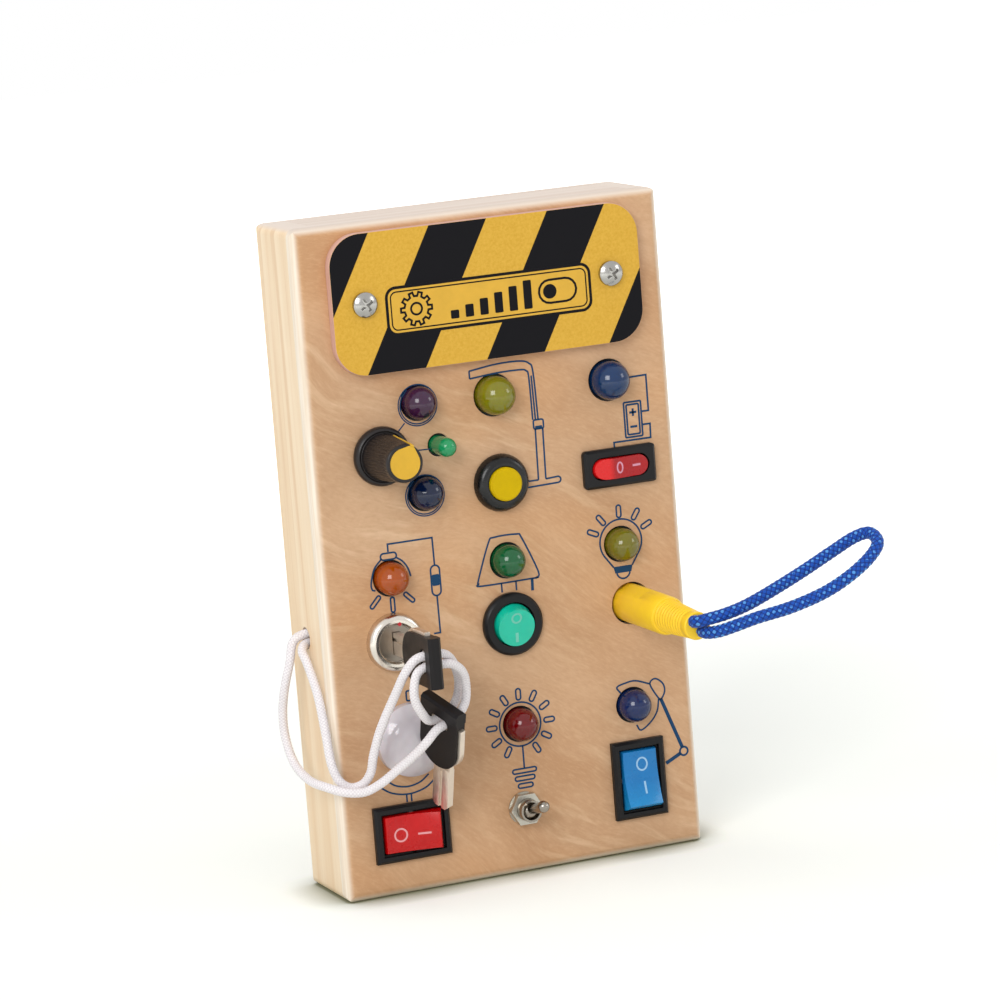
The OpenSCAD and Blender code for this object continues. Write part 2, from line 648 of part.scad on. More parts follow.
module big_rocker_case() difference() {
    union() {
        bevel_box(big_l, big_w, bezel_t, bezel_bevel);
        slab(-big_case_l / 2, big_case_l / 2, -big_case_w / 2, big_case_w / 2, -case_depth, 0.5);
    }
    slab(-big_r - slack, big_r + slack, -big_hw - slack, big_hw + slack, -big_r - 0.4, bezel_t + 1);
    slab(rim - big_l / 2, big_l / 2 - rim, rim - big_w / 2, big_w / 2 - rim, step_z, bezel_t + 1);
    axle_bore(big_case_w / 2);
}
big_mid = 2.4;
paddle_draft = 0.4;    // how much narrower a large paddle is at its top
module big_paddle() {
    difference() {
        intersection() {
            rotate([90, 0, 0]) cylinder(h = 2 * big_hw, r = big_r, center = true);
            rotate([90, 0, 90]) linear_extrude(4 * big_r, center = true) polygon([[-big_hw, -paddle_floor],
                [big_hw, -paddle_floor], [big_hw, 1], [big_hw - paddle_draft, paddle_top],
                [paddle_draft - big_hw, paddle_top], [-big_hw, 1]]);
        }
        scoop(big_r, big_hw, big_mid, 1.2);
    }
    axle(big_case_w / 2 - 0.1);
    stem();
}
module mini_rocker_case() difference() {
    union() {
        intersection() {
            bevel_box(mini_l, mini_w, bezel_t, bezel_bevel);
            linear_extrude(bezel_t) rounded_rect(mini_l, mini_w, mini_corner);
        }
        slab(-mini_case_l / 2, mini_case_l / 2, -mini_case_w / 2, mini_case_w / 2, -case_depth, 0.5);
    }
    translate([0, 0, -mini_r - 0.4]) linear_extrude(mini_r + bezel_t + 2)
        stadium(2 * (mini_r + slack), 2 * (mini_hw + slack));
    axle_bore(mini_case_w / 2);
}
module mini_rocker_paddle() {
    difference() {
        intersection() {
            rotate([90, 0, 0]) rotate_extrude() intersection() {
                stadium(2 * mini_r, 2 * mini_hw);
                translate([0, -mini_l]) square(2 * mini_l);
            }
            paddle_block(mini_r, mini_hw, paddle_top);
        }
        above_ridge(mini_r, mini_hw);
    }
    axle(mini_case_w / 2 - 0.1);
    stem();
}
module round_rocker_case() difference() {
    union() {
        disc(round_d / 2, 0, bezel_t - bezel_bevel);
        translate([0, 0, bezel_t - bezel_bevel])
            cylinder(h = bezel_bevel, r1 = round_d / 2, r2 = round_d / 2 - bezel_bevel);
        disc(round_case_r, -case_depth, 0.5);
    }
    disc(round_r + slack, -round_r - 1.2, bezel_t + 1);
    axle_bore(round_case_r - 0.2);
}
round_mid = 3.4;
round_top = 4.8;
round_draft = 0.8;     // how much smaller the round paddle is at its top
module round_rocker_paddle() {
    difference() {
        union() {
            intersection() {
                sphere(round_r, $fn = 96);
                paddle_block(round_r, round_r, 1);
            }
            translate([0, 0, 0.5])
                cylinder(h = round_top - 0.5, r1 = round_r - 0.02, r2 = round_r - round_draft);
        }
        scoop(round_r, round_r, round_mid, 0.6);
    }
    axle(round_case_r - 0.35);
    stem();
}
module mini_case() color("#201c1d") on_front(mini_at) mini_rocker_case();
module mini_paddle() color("#cf2733") on_front(mini_at) rotate([0, rocker_tilt, 0]) mini_rocker_paddle();
module round_case() color("#221e1f") on_front(round_at) rotate([0, 0, 90]) round_rocker_case();
module round_paddle() color("#23c795") on_front(round_at) rotate([0, 0, 90]) rotate([0, -rocker_tilt, 0])
    round_rocker_paddle();
module red_case() color("#2b2a2d") on_front(red_at) big_rocker_case();
module red_paddle() color("#cf262b") on_front(red_at) rotate([0, -rocker_tilt, 0]) big_paddle();
module blue_case() color("#2b2a2d") on_front(blue_at) rotate([0, 0, 90]) big_rocker_case();
module blue_paddle() color("#2b86cf") on_front(blue_at) rotate([0, 0, 90]) rotate([0, rocker_tilt, 0])
    big_paddle();
// n flat terminals, w wide and l long, behind a case that ends at depth back
module blades(step, n, w, l, back) for (i = [0:n - 1])
    translate([(i - (n - 1) / 2) * step - 0.3, -w / 2, -back - l]) cube([0.6, w, l]);
module switch_terminals() color("#d3c48e") {
    on_front(mini_at) blades(6, 2, 3, 6, case_depth);
    on_front(round_at) rotate([0, 0, 90]) blades(6, 2, 4.8, 6, case_depth);
    on_front(red_at) blades(7, 2, 4.8, 6, case_depth);
    on_front(blue_at) rotate([0, 0, 90]) blades(7, 2, 4.8, 6, case_depth);
    on_front(toggle_at) rotate([0, 0, 90]) blades(3.6, 3, 1.6, 4, toggle_back);
    on_front(button_at) blades(5, 2, 2.8, 3.5, button_depth);
}

// ---------- toggle switch ----------
toggle_body = [8, 13, 9];      // width, height and depth of its case
toggle_back = front_t + toggle_body[2];
toggle_pivot = toggle_bush_h - 1.9;
toggle_bore = toggle_bush_d / 2 - 0.6;
module toggle_case() color("#a9a59c") on_front(toggle_at) difference() {
    union() {
        disc(toggle_bush_d / 2, -front_t - 0.5, toggle_bush_h);
        slab(-toggle_body[0] / 2, toggle_body[0] / 2, -toggle_body[1] / 2, toggle_body[1] / 2,
            -toggle_back, -front_t);
    }
    disc(toggle_bore, toggle_pivot - 6, toggle_bush_h + 1);
}
module toggle_lever() color("#cfcbc4") on_front(toggle_at) translate([0, 0, toggle_pivot])
    rotate([-toggle_tilt, 0, 0]) {
        sphere(toggle_bore - run);
        cylinder(h = toggle_lever_l - 1.6, r1 = 1.05, r2 = 1.6);
        translate([0, 0, toggle_lever_l - 1.6]) sphere(1.6);
        translate([0, 0, -4.4]) cylinder(h = 4.4, r = 0.8);
    }

// ---------- lock and keys ----------
core_face = 1.6;
key_slot_w = blade_t + 0.2;
key_slot_h = blade_w + 0.2;
key_slot_end = grip_out - blade_l - 0.6;
module lock_barrel() color("#b9b5ac") on_front(lock_at) difference() {
    union() {
        rotate_extrude($fn = 72) polygon(concat([[0, 0], [lock_ring_d / 2, 0], [lock_ring_d / 2, 0.6]],
            [for (i = [1:6]) let (a = 15 * i) [lock_ring_d / 2 - 1.6 + 1.6 * cos(a),
                0.6 + (lock_ring_h - 0.6) * sin(a)]], [[0, lock_ring_h]]));
        disc(lock_barrel_d / 2, -lock_depth, 0.5);
    }
    disc(lock_core_d / 2 + run, -lock_depth + 1, lock_ring_h + 1);
    translate([0, 0, core_face + 0.1]) cylinder(h = lock_ring_h - core_face, r1 = lock_core_d / 2 + 0.1,
        r2 = lock_core_d / 2 + 0.7);
}
module lock_core() color("#8d877c") on_front(lock_at) difference() {
    disc(lock_core_d / 2, -lock_depth + 1.1, core_face);
    slab(-key_slot_w / 2, key_slot_w / 2, -key_slot_h / 2, key_slot_h / 2, key_slot_end, core_face + 1);
}
// A key in its own frame: the blade points down z, the flat lies across x, and the origin is where
// the blade meets the grip.
head_t = 1.5;
grip_c = -grip_side;
cord_slot_w = 3.4;
cord_slot_l = 6.4;
cord_slot_z = grip_l - 2.3;
module u_plate(w, l, t) rotate([90, 0, 90]) linear_extrude(t, center = true) intersection() {
    union() {
        translate([0, w / 2]) circle(w / 2);
        translate([-w / 2, w / 2]) square([w, l - w / 2]);
    }
    translate([-w, 0]) square([2 * w, l]);
}
module cord_slot() translate([0, grip_c, cord_slot_z]) rotate([0, 90, 0])
    linear_extrude(20, center = true) rotate([0, 0, 90]) stadium(cord_slot_l, cord_slot_w);
module metal_head(g) translate([0, grip_c + metal_edge, 0.9 - g])
    u_plate(grip_w + 2 * g, grip_l - 2.4 + 2 * g, head_t + 2 * g);
module key_metal() difference() {
    union() {
        metal_head(0);
        slab(-blade_t / 2, blade_t / 2, -blade_w / 2, blade_w / 2, -blade_l + 1.2, 0);
        slab(-head_t / 2, head_t / 2, -blade_w / 2, blade_w / 2, -0.1, 2);
        translate([0, 0, -blade_l + 1.2]) rotate([90, 0, 90]) linear_extrude(blade_t, center = true)
            polygon([[-blade_w / 2, 0.01], [blade_w / 2, 0.01], [blade_w / 2 - 1.1, -1.2],
                [1.1 - blade_w / 2, -1.2]]);
    }
    slab(blade_t / 2 - 0.5, blade_t, -0.5, 0.5, -blade_l - 1, -1);
    slab(-blade_t, -blade_t / 2 + 0.5, 0.6, 1.6, -blade_l - 1, -1);
    cord_slot();
}
module key_plastic() difference() {
    union() {
        translate([0, grip_c, 0]) u_plate(grip_w, grip_l + 0.5, grip_t);
        translate([0, grip_c, grip_l]) rotate([90, 0, 0]) linear_extrude(grip_w, center = true)
            polygon([[-bar_t / 2, 0], [bar_t / 2, 0], [bar_t / 2, bar_t - 0.7], [bar_t / 2 - 0.7, bar_t],
                [0.7 - bar_t / 2, bar_t], [-bar_t / 2, bar_t - 0.7]]);
    }
    metal_head(fit);
    slab(-head_t / 2 - fit, head_t / 2 + fit, 0, grip_w, 6, grip_l - 1.4);
    slab(-blade_t / 2 - fit, blade_t / 2 + fit, -blade_w / 2 - fit, blade_w / 2 + fit, -1, 2 + fit);
    cord_slot();
}
module in_lock() on_front(lock_at) translate([0, 0, grip_out]) children();
module key_blade() color("#bfb5a6") in_lock() key_metal();
module key_grip() color("#2c2725") in_lock() key_plastic();
spare_pos = [-27.7, -33, 52];
spare_rot = [-24, 13, -162];
module spare() translate(spare_pos + moved_left) rotate(spare_rot)
    translate([0, -grip_c, -grip_l - bar_t / 2]) children();
module spare_blade() color("#bfb5a6") spare() key_metal();
module spare_grip() color("#2c2725") spare() key_plastic();

// ---------- plug and socket ----------
jack_d = 15.6;
jack_depth = 12;
groove_r2 = plug_d / 2 - 0.7;
groove_r1 = groove_r2 - 0.85;
groove_depth = 6;
pin_reach = 7.5;       // how far the middle pin reaches into the socket
shell_in = -front_t + 0.5;
module jack_socket() color("#2a2a2c") on_front(jack_at) difference() {
    translate([0, 0, -front_t - jack_depth]) linear_extrude(jack_depth) rounded_rect(jack_d, jack_d, 2);
    tube(groove_r2, groove_r1, -front_t - groove_depth, 1);
    disc(pin_d / 2 + 0.08, -front_t - pin_reach - 2, 1);
}
module plug_shell() color("#f2c024") on_front(jack_at) {
    difference() {
        union() {
            intersection() {
                disc(plug_d / 2, shell_in, plug_wide_l - 1);
                translate([0, 0, (shell_in + plug_wide_l) / 2]) rotate([0, 0, 22])
                    cube([plug_d, plug_d - 0.9, plug_wide_l - shell_in], center = true);
            }
            disc(plug_d / 2, plug_wide_l * 0.55, plug_wide_l - 1);
            translate([0, 0, plug_wide_l - 1]) cylinder(h = 1, r1 = plug_d / 2, r2 = sleeve_d1 / 2 + 0.3);
            translate([0, 0, plug_wide_l]) rotate_extrude() polygon(concat(
                [[0, -0.5], [sleeve_d1 / 2, -0.5]],
                [for (i = [0:ribs - 1]) let (p = (plug_sleeve_l - 3) / ribs, z = i * p,
                    r = sleeve_d1 / 2 - (sleeve_d1 - sleeve_d2) / 2 * i / ribs)
                    each [[r, z + 0.1], [r, z + p * 0.55], [r - 0.35, z + p * 0.62],
                        [r - 0.35, z + p * 0.93]]],
                [[sleeve_d2 / 2, plug_sleeve_l - 2.9], [sleeve_d2 / 2, plug_sleeve_l - 0.3],
                    [sleeve_d2 / 2 - 0.3, plug_sleeve_l], [0, plug_sleeve_l]]));
        }
        disc(groove_r2 - 0.08 + fit, shell_in - 1, shell_in + 4);
    }
}
module plug_contacts() color("#c8c3b8") on_front(jack_at) {
    difference() {
        disc(groove_r2 - 0.08, -front_t - groove_depth + 0.6, shell_in + 4);
        disc(groove_r1 + 0.08, -front_t - groove_depth, shell_in + 2.5);
    }
    disc(pin_d / 2, -front_t - pin_reach, shell_in + 3);
    translate([0, 0, -front_t - pin_reach]) sphere(pin_d / 2);
}

// ---------- battery box, in the back sheet behind the striped plate ----------
door_l = cell_l + 8.5;
door_h = 2 * cell_d + 2.2;
box_l = door_l + 2 * box_wall + 2 * slack;
door_lap = 3;          // how far the door reaches over the rim of the cell bay
box_h = door_h + 2 * (door_lap + slack + 1.2);
box_z = board_h - rail_t - box_h / 2 - 0.75;     // close under the top rail
box_deep = cell_d + 1.2 + door_t + box_wall;
floor_y = back_y - box_deep;
door_x0 = plate_at[0];
module battery_box() color("#1f1f21") translate([door_x0, 0, box_z]) difference() {
    slab(-box_l / 2, box_l / 2, floor_y, back_y, -box_h / 2, box_h / 2);
    slab(-door_l / 2 + 1, door_l / 2 - 1, floor_y + box_wall, back_y + 1,
        -door_h / 2 + 0.6, door_h / 2 - 0.6);
    slab(-door_l / 2 - slack, door_l / 2 + slack, back_y - door_t - 0.1, back_y + 1,
        -door_h / 2 - door_lap - slack, door_h / 2 + door_lap + slack);
    at_door_screw() disc(door_screw_d / 2 + fit, -1, door_screw_l + 1);
}
door_screw_d = 2;
door_head_d = 3.2;
door_screw_l = 7;
door_screw_z = door_h / 2 + door_lap / 2 - 0.2;
module at_door_screw() translate([0, back_y - door_sink, door_screw_z]) rotate([90, 0, 0]) children();
door_sink = 0.4;       // the door lies this far below the back face, so that only its ribs reach it
module battery_door() color("#232325") translate([door_x0, 0, box_z]) difference() {
    union() {
        slab(-door_l / 2, door_l / 2, back_y - door_t, back_y - door_sink,
            -door_h / 2 - door_lap, door_h / 2 + door_lap);
        for (i = [-2:2]) slab(-5 - abs(i) * 1.5, 5 + abs(i) * 1.5, back_y - 1, back_y,
            -door_h / 2 + 3.4 + i * 1.6, -door_h / 2 + 4 + i * 1.6);
    }
    at_door_screw() {
        disc(door_screw_d / 2 + fit, -1, door_t + 1);
        countersink(door_head_d, door_screw_d, 1);
    }
}
module door_screw() color("#b9b4ab") translate([door_x0, 0, box_z]) at_door_screw()
    flat_screw(door_head_d, door_screw_d, 1, door_screw_l);
cell_y = floor_y + box_wall + 0.2 + cell_d / 2;
module cell_at(s) translate([door_x0 - s * cell_l / 2, cell_y, box_z + s * (cell_d / 2 + 0.15)])
    rotate([0, s * 90, 0]) children();
module batteries() color("#3f6f4f") for (s = [-1, 1]) cell_at(s) {
    disc(cell_d / 2, 0, cell_l);
    disc(1.9, cell_l - 0.1, cell_l + 0.9);
}
contact_room = (door_l - 2 - cell_l) / 2;
contact_r = 4.2;
module battery_contacts() color("#cfcabf") for (s = [-1, 1]) cell_at(s) {
    tube(3.4, 2.6, -contact_room + 0.4, -0.05);
    disc(contact_r, -contact_room + 0.02, -contact_room + 0.42);
    disc(contact_r, cell_l + 0.95, cell_l + contact_room - 0.02);
}

// ---------- circuit board on the back sheet ----------
pcb_w = 46;
pcb_h = 30;
pcb_at = [-6, 94];
pcb_lift = 2;
pcb_t = 1.6;
module circuit_board() color("#2f6b43") on_front(pcb_at) translate([0, 0, in_back]) {
    translate([0, 0, pcb_lift + pcb_t / 2]) cube([pcb_w, pcb_h, pcb_t], center = true);
    for (sx = [-1, 1], sy = [-1, 1]) translate([sx * (pcb_w / 2 - 4), sy * (pcb_h / 2 - 4), 0])
        cylinder(h = pcb_lift + 0.1, r = 2);
    for (i = [-3:3]) translate([i * 5, 6, pcb_lift + pcb_t - 0.1]) rotate([90, 0, 0])
        translate([0, 0.6, 0]) cylinder(h = 5, r = 0.7);
}

// ---------- cords ----------
// Points for the white cord and the blue loop, chosen by hand for a board 102 wide, whose face lies at
// y = -14 and whose lock row lies at z = 66.9. On another board they move with its side, face and row.
CHOSEN = [51, -14, 66.9];
moved_left = [CHOSEN[0] - board_w / 2, front_y - CHOSEN[1], lock_at[1] - CHOSEN[2]];
moved_right = [board_w / 2 - CHOSEN[0], moved_left[1], moved_left[2]];
WHITE = [[-43.3, 1.2, 69.7], [-50.5, 1.1, 69.7], [-54.5, 1.3, 68], [-56.3, 0.4, 62.8], [-58, 1, 56.5],
    [-58.6, 2.7, 49.5], [-58.4, 2.8, 42.6], [-57.8, -0.9, 36.3], [-56.8, -8.5, 33.2],
    [-55, -15.6, 32.4], [-51.3, -19.9, 31.2], [-46.6, -21.6, 30.9], [-42.3, -23.2, 33],
    [-38.6, -26.2, 36.6], [-35.2, -30.6, 40.8], [-33, -33.6, 44.2], [-30.3, -33.7, 46.7],
    [-26.9, -32.6, 47.8], [-23.4, -31.9, 49.2], [-21, -31.6, 52.4], [-20.7, -32.2, 56.6],
    [-21.9, -33.9, 60.5], [-25, -36, 63.4], [-28.6, -37, 64.3], [-32.3, -37.2, 64.4],
    [-35.5, -37.4, 63.1], [-36.8, -37.4, 59.6], [-36.5, -36.6, 55.8], [-34.6, -35, 52.4],
    [-31.4, -31.6, 49.1], [-27.9, -30, 48.9], [-24.6, -29, 50], [-22, -28.6, 53.2],
    [-21.4, -29.2, 57.4], [-22.9, -31.4, 61.8], [-25.7, -34.4, 65.4], [-28.8, -36.6, 67],
    [-32.3, -37.2, 67.2], [-35.8, -36.8, 66.3], [-38.2, -34.8, 62.6], [-39.6, -31.4, 57.4],
    [-41.2, -27.9, 51.8], [-42.9, -25.2, 46], [-44, -22.8, 40], [-44.3, -20.8, 35.6],
    [-45.8, -18.8, 32.5], [-48.8, -17.4, 31.6], [-51.6, -16.6, 33.7], [-53, -15.6, 38.4],
    [-52.9, -12.8, 46.6], [-52.8, -9.2, 55.4], [-53.4, -5.2, 62.8], [-53.5, -2.2, 65.8],
    [-51.4, 0.4, 67.1], [-48, 1, 67.1], [-43.3, 1.2, 67.1]];
BLUE = [[36.3, -54.6, 65.8], [36.5, -57.6, 65.8], [38.4, -60.8, 66.4], [41.8, -63.4, 67.7],
    [47, -65.8, 69.4], [55.5, -68.2, 71.2], [64.3, -70, 74], [71.5, -71, 77.6], [77.5, -70.6, 81.4],
    [81, -68.6, 84.4], [81, -64.4, 86.3], [77.5, -62.4, 85.4], [71.5, -61.8, 82.6],
    [62.4, -61.5, 78.4], [52.9, -61.2, 74.4], [46.1, -61, 71.9], [40.8, -60.4, 70.5],
    [36.8, -58.9, 69.6], [34.6, -57, 68.9], [34.1, -54.6, 68.6]];
// a smooth curve through the points, s steps for each stretch
function pick(p, i) = i < 0 ? 2 * p[0] - p[1] : i >= len(p) ? 2 * p[len(p) - 1] - p[len(p) - 2] : p[i];
function bend(a, b, c, d, t) = 0.5 * (2 * b + (c - a) * t + (2 * a - 5 * b + 4 * c - d) * t * t
    + (3 * b - a - 3 * c + d) * t * t * t);
function route(p, s) = concat([for (i = [0:len(p) - 2]) for (k = [0:s - 1])
    bend(pick(p, i - 1), p[i], p[i + 1], pick(p, i + 2), k / s)], [p[len(p) - 1]]);
function unit(v) = v / norm(v);
function along(p, i) = unit(pick(p, i + 1) - pick(p, i - 1));
// a side direction that is carried along the curve without twisting
function sides(p, i, v) = i >= len(p) ? [] :
    let (t = along(p, i), w = unit(v - (v * t) * t)) concat([w], sides(p, i + 1, w));
function tube_faces(n, m) = concat([[for (k = [m - 1:-1:0]) k]], [[for (k = [0:m - 1]) n * m + k]],
    [for (i = [0:n - 1], k = [0:m - 1]) [i * m + k, i * m + (k + 1) % m, (i + 1) * m + (k + 1) % m]],
    [for (i = [0:n - 1], k = [0:m - 1]) [i * m + k, (i + 1) * m + (k + 1) % m, (i + 1) * m + k]]);
module cord(points, d, s, m) {
    p = route(points, s);
    w = sides(p, 0, [0.1, 0.2, 1]);
    n = len(p) - 1;
    pts = [for (i = [0:n]) let (t = along(p, i), b = cross(w[i], t)) for (k = [0:m - 1])
        p[i] + d / 2 * (cos(360 * k / m) * w[i] + sin(360 * k / m) * b)];
    polyhedron(pts, tube_faces(n, m), convexity = 12);
}
module key_cord() color("#f4f1ee") translate(moved_left) cord(WHITE, white_d, 1, 8);
module blue_loop() color("#2a55a8") translate(moved_right) cord(BLUE, blue_d, 1, 8);
knot_c = [-inner_x + 3.4, cord_hole_y + 1.6, cord_hole_z];
module cord_knot() color("#f4f1ee") translate(knot_c) sphere(3);

frame_left();
frame_right();
frame_top();
frame_bottom();
front_panel();
back_panel();
back_screws();
striped_plate();
plate_screws();
lamp_purple();
lamp_navy();
lamp_street();
lamp_battery();
lamp_pendant();
lamp_table();
lamp_bulb();
lamp_sun();
lamp_desk();
lamp_small_green();
dome_lamp();
lamp_holders();
lamp_leads();
pot_body();
panel_nuts();
button_housing();
button_nut();
button_spring();
button_cap();
mini_case();
mini_paddle();
round_case();
round_paddle();
red_case();
red_paddle();
blue_case();
blue_paddle();
switch_terminals();
toggle_case();
toggle_lever();
knob_shaft();
knob();
knob_pointer();
lock_barrel();
lock_core();
key_blade();
key_grip();
spare_blade();
spare_grip();
jack_socket();
plug_shell();
plug_contacts();
blue_loop();
key_cord();
cord_knot();
battery_box();
batteries();
battery_contacts();
battery_door();
door_screw();
circuit_board();
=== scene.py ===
import math
import bmesh
import bpy
from mathutils import Matrix, Vector


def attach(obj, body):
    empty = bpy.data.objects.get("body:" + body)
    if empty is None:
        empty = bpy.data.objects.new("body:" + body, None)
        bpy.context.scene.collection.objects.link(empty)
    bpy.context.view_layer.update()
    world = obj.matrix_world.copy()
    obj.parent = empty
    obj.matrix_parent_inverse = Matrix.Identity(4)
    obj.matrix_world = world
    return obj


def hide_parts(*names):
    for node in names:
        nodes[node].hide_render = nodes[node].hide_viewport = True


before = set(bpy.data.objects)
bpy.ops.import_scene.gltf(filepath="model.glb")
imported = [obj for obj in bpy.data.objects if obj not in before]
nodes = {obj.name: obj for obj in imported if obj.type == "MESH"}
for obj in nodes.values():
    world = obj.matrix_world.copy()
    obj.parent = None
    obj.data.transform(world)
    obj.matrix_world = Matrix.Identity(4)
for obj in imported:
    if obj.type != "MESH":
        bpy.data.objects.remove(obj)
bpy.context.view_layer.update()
scene = bpy.context.scene
scene.view_settings.view_transform = "Standard"
MM = 0.001
FACE_Y = -14.0          # the board's front face, mm
PLATE_Y = -17.0         # the striped plate's front face, mm
RED_AT = (-32, 16.8)    # x and z of the middles of the rocker switches, mm
BLUE_AT = (33.3, 20.1)
ROUND_AT = (0.7, 66.9)
MINI_AT = (34.2, 104.1)
X = 0
Z = 2


# ---------- camera ----------
CAM_AT = Vector((-0.425139, -1.061494, 0.291349))
CAM_RIGHT = Vector((0.9186, -0.38732, -0.07847))
CAM_UP = Vector((0.13641, 0.12441, 0.98281))
CAM_BACK = Vector((-0.3709, -0.91351, 0.16711))
LENS = 158.98
SENSOR_WIDTH = 36
NEAREST = 0.05          # metres
FARTHEST = 20


def add_camera():
    data = bpy.data.cameras.new("camera")
    data.lens = LENS
    data.sensor_width = SENSOR_WIDTH
    data.clip_start = NEAREST
    data.clip_end = FARTHEST
    camera = bpy.data.objects.new("camera", data)
    turn = Matrix((CAM_RIGHT, CAM_UP, CAM_BACK)).transposed().to_4x4()
    camera.matrix_world = Matrix.Translation(CAM_AT) @ turn
    scene.collection.objects.link(camera)
    scene.camera = camera


add_camera()


# ---------- shader helpers ----------
def lin(r, g, b):
    """A display colour of 0 to 255 as linear RGBA."""
    return tuple(c / 12.92 if c <= 0.04045 else ((c + 0.055) / 1.055) ** 2.4
                 for c in (r / 255, g / 255, b / 255)) + (1.0,)


class Tree:
    """Short ways to add nodes to a node tree; an input is a socket to link or a plain value."""

    def __init__(self, tree):
        self.tree = tree

    def put(self, socket, value):
        if isinstance(value, bpy.types.NodeSocket):
            self.tree.links.new(value, socket)
        else:
            socket.default_value = value

    def node(self, kind, ins=None, **props):
        n = self.tree.nodes.new("ShaderNode" + kind)
        for key, value in props.items():
            setattr(n, key, value)
        for key, value in (ins or {}).items():
            self.put(n.inputs[key], value)
        return n

    def math(self, op, a, b=0.0):
        return self.node("Math", {0: a, 1: b}, operation=op).outputs[0]

    def span(self, value, lo, hi, out_lo=0.0, out_hi=1.0):
        """The value moved from the range lo to hi to another range, and held inside it."""
        return self.node("MapRange", {0: value, 1: lo, 2: hi, 3: out_lo, 4: out_hi}).outputs[0]

    def mix(self, share, a, b):
        """Colour a where the share is 0 and b where it is 1."""
        a, b = (lin(*c) if isinstance(c, tuple) and len(c) == 3 else c for c in (a, b))
        return self.node("Mix", {0: share, 6: a, 7: b}, data_type="RGBA").outputs[2]

    def tint(self, tone, color, mask, lo, hi, share=1.0):
        """The tone turned towards a colour by up to share, as the mask goes from lo to hi."""
        return self.mix(self.span(mask, lo, hi, 0.0, share), tone, color)


class Shade(Tree):
    """A Principled material, painted by nodes in the object's own coordinates p."""

    def __init__(self, name, color=(200, 200, 200), rough=0.5, metal=0.0, coat=0.0, coat_rough=0.04,
                 spec=0.5, sheen=0.0, glow=0.0):
        self.material = bpy.data.materials.new(name)
        self.material.use_nodes = True
        super().__init__(self.material.node_tree)
        self.shader = self.tree.nodes["Principled BSDF"]
        for key, value in (("Base Color", lin(*color)), ("Roughness", rough), ("Metallic", metal),
                           ("Coat Weight", coat), ("Coat Roughness", coat_rough),
                           ("Specular IOR Level", spec), ("Sheen Weight", sheen),
                           ("Subsurface Weight", glow), ("Subsurface Scale", 2 * MM)):
            self.shader.inputs[key].default_value = value
        self.color = color
        self.p = self.node("TexCoord").outputs["Object"]

    def stretch(self, v, scales):
        return self.node("VectorMath", {0: v, 1: scales}, operation="MULTIPLY").outputs[0]

    def noise(self, v, scale, detail=2.0, rough=0.5, bend=0.0):
        """Noise of about scale cells a metre; three scales stretch it along the axes."""
        if isinstance(scale, tuple):
            v = self.stretch(v, scale)
            scale = 1.0
        n = self.node("TexNoise", {"Vector": v, "Scale": scale, "Detail": detail,
                                   "Roughness": rough, "Distortion": bend})
        return n.outputs[0]

    def axes(self, v=None):
        return self.node("SeparateXYZ", {0: v or self.p}).outputs

    def facing(self):
        """The parts along x, y and z of the direction that the surface faces."""
        return self.axes(self.node("NewGeometry").outputs["Normal"])

    def paint(self, color):
        self.put(self.shader.inputs["Base Color"], color)
        return self

    def rough(self, value):
        self.put(self.shader.inputs["Roughness"], value)
        return self

    def bump(self, height, distance, strength=1.0):
        n = self.node("Bump", {"Height": height, "Distance": distance, "Strength": strength})
        self.put(self.shader.inputs["Normal"], n.outputs[0])
        return self

    def worn(self, amount=0.05, scale=260.0, grit=2600.0, grit_size=0.00001, rough=0.06):
        """Slight changes of tone and gloss and a fine grit, as on any moulded or turned part."""
        cloud = self.noise(self.p, scale, 3.0, 0.6)
        dark = tuple(max(0, c * (1 - amount)) for c in self.color)
        pale = tuple(min(255, c * (1 + amount) + 2) for c in self.color)
        self.paint(self.mix(cloud, dark, pale))
        base = self.shader.inputs["Roughness"].default_value
        self.rough(self.span(cloud, 0.3, 0.7, max(0.02, base - rough), min(1, base + rough)))
        return self.bump(self.noise(self.p, grit), grit_size)


# ---------- wood ----------
GRAIN_ANGLE = math.radians(-28)
GRAIN_SWAY = 0.034      # metres
PORE_DEPTH = 0.00002    # metres
# Edge colours of the front sheet: paler ply layers with a painted highlight, and painted shade on the top
# edge.
PLY_EDGE_WITH_HIGHLIGHT = (234, 217, 196)
PALE_PLY_WITH_HIGHLIGHT = (243, 230, 213)
PLY_TOP_SHADE = (216, 200, 186)
END_GRAIN = (224, 208, 194)


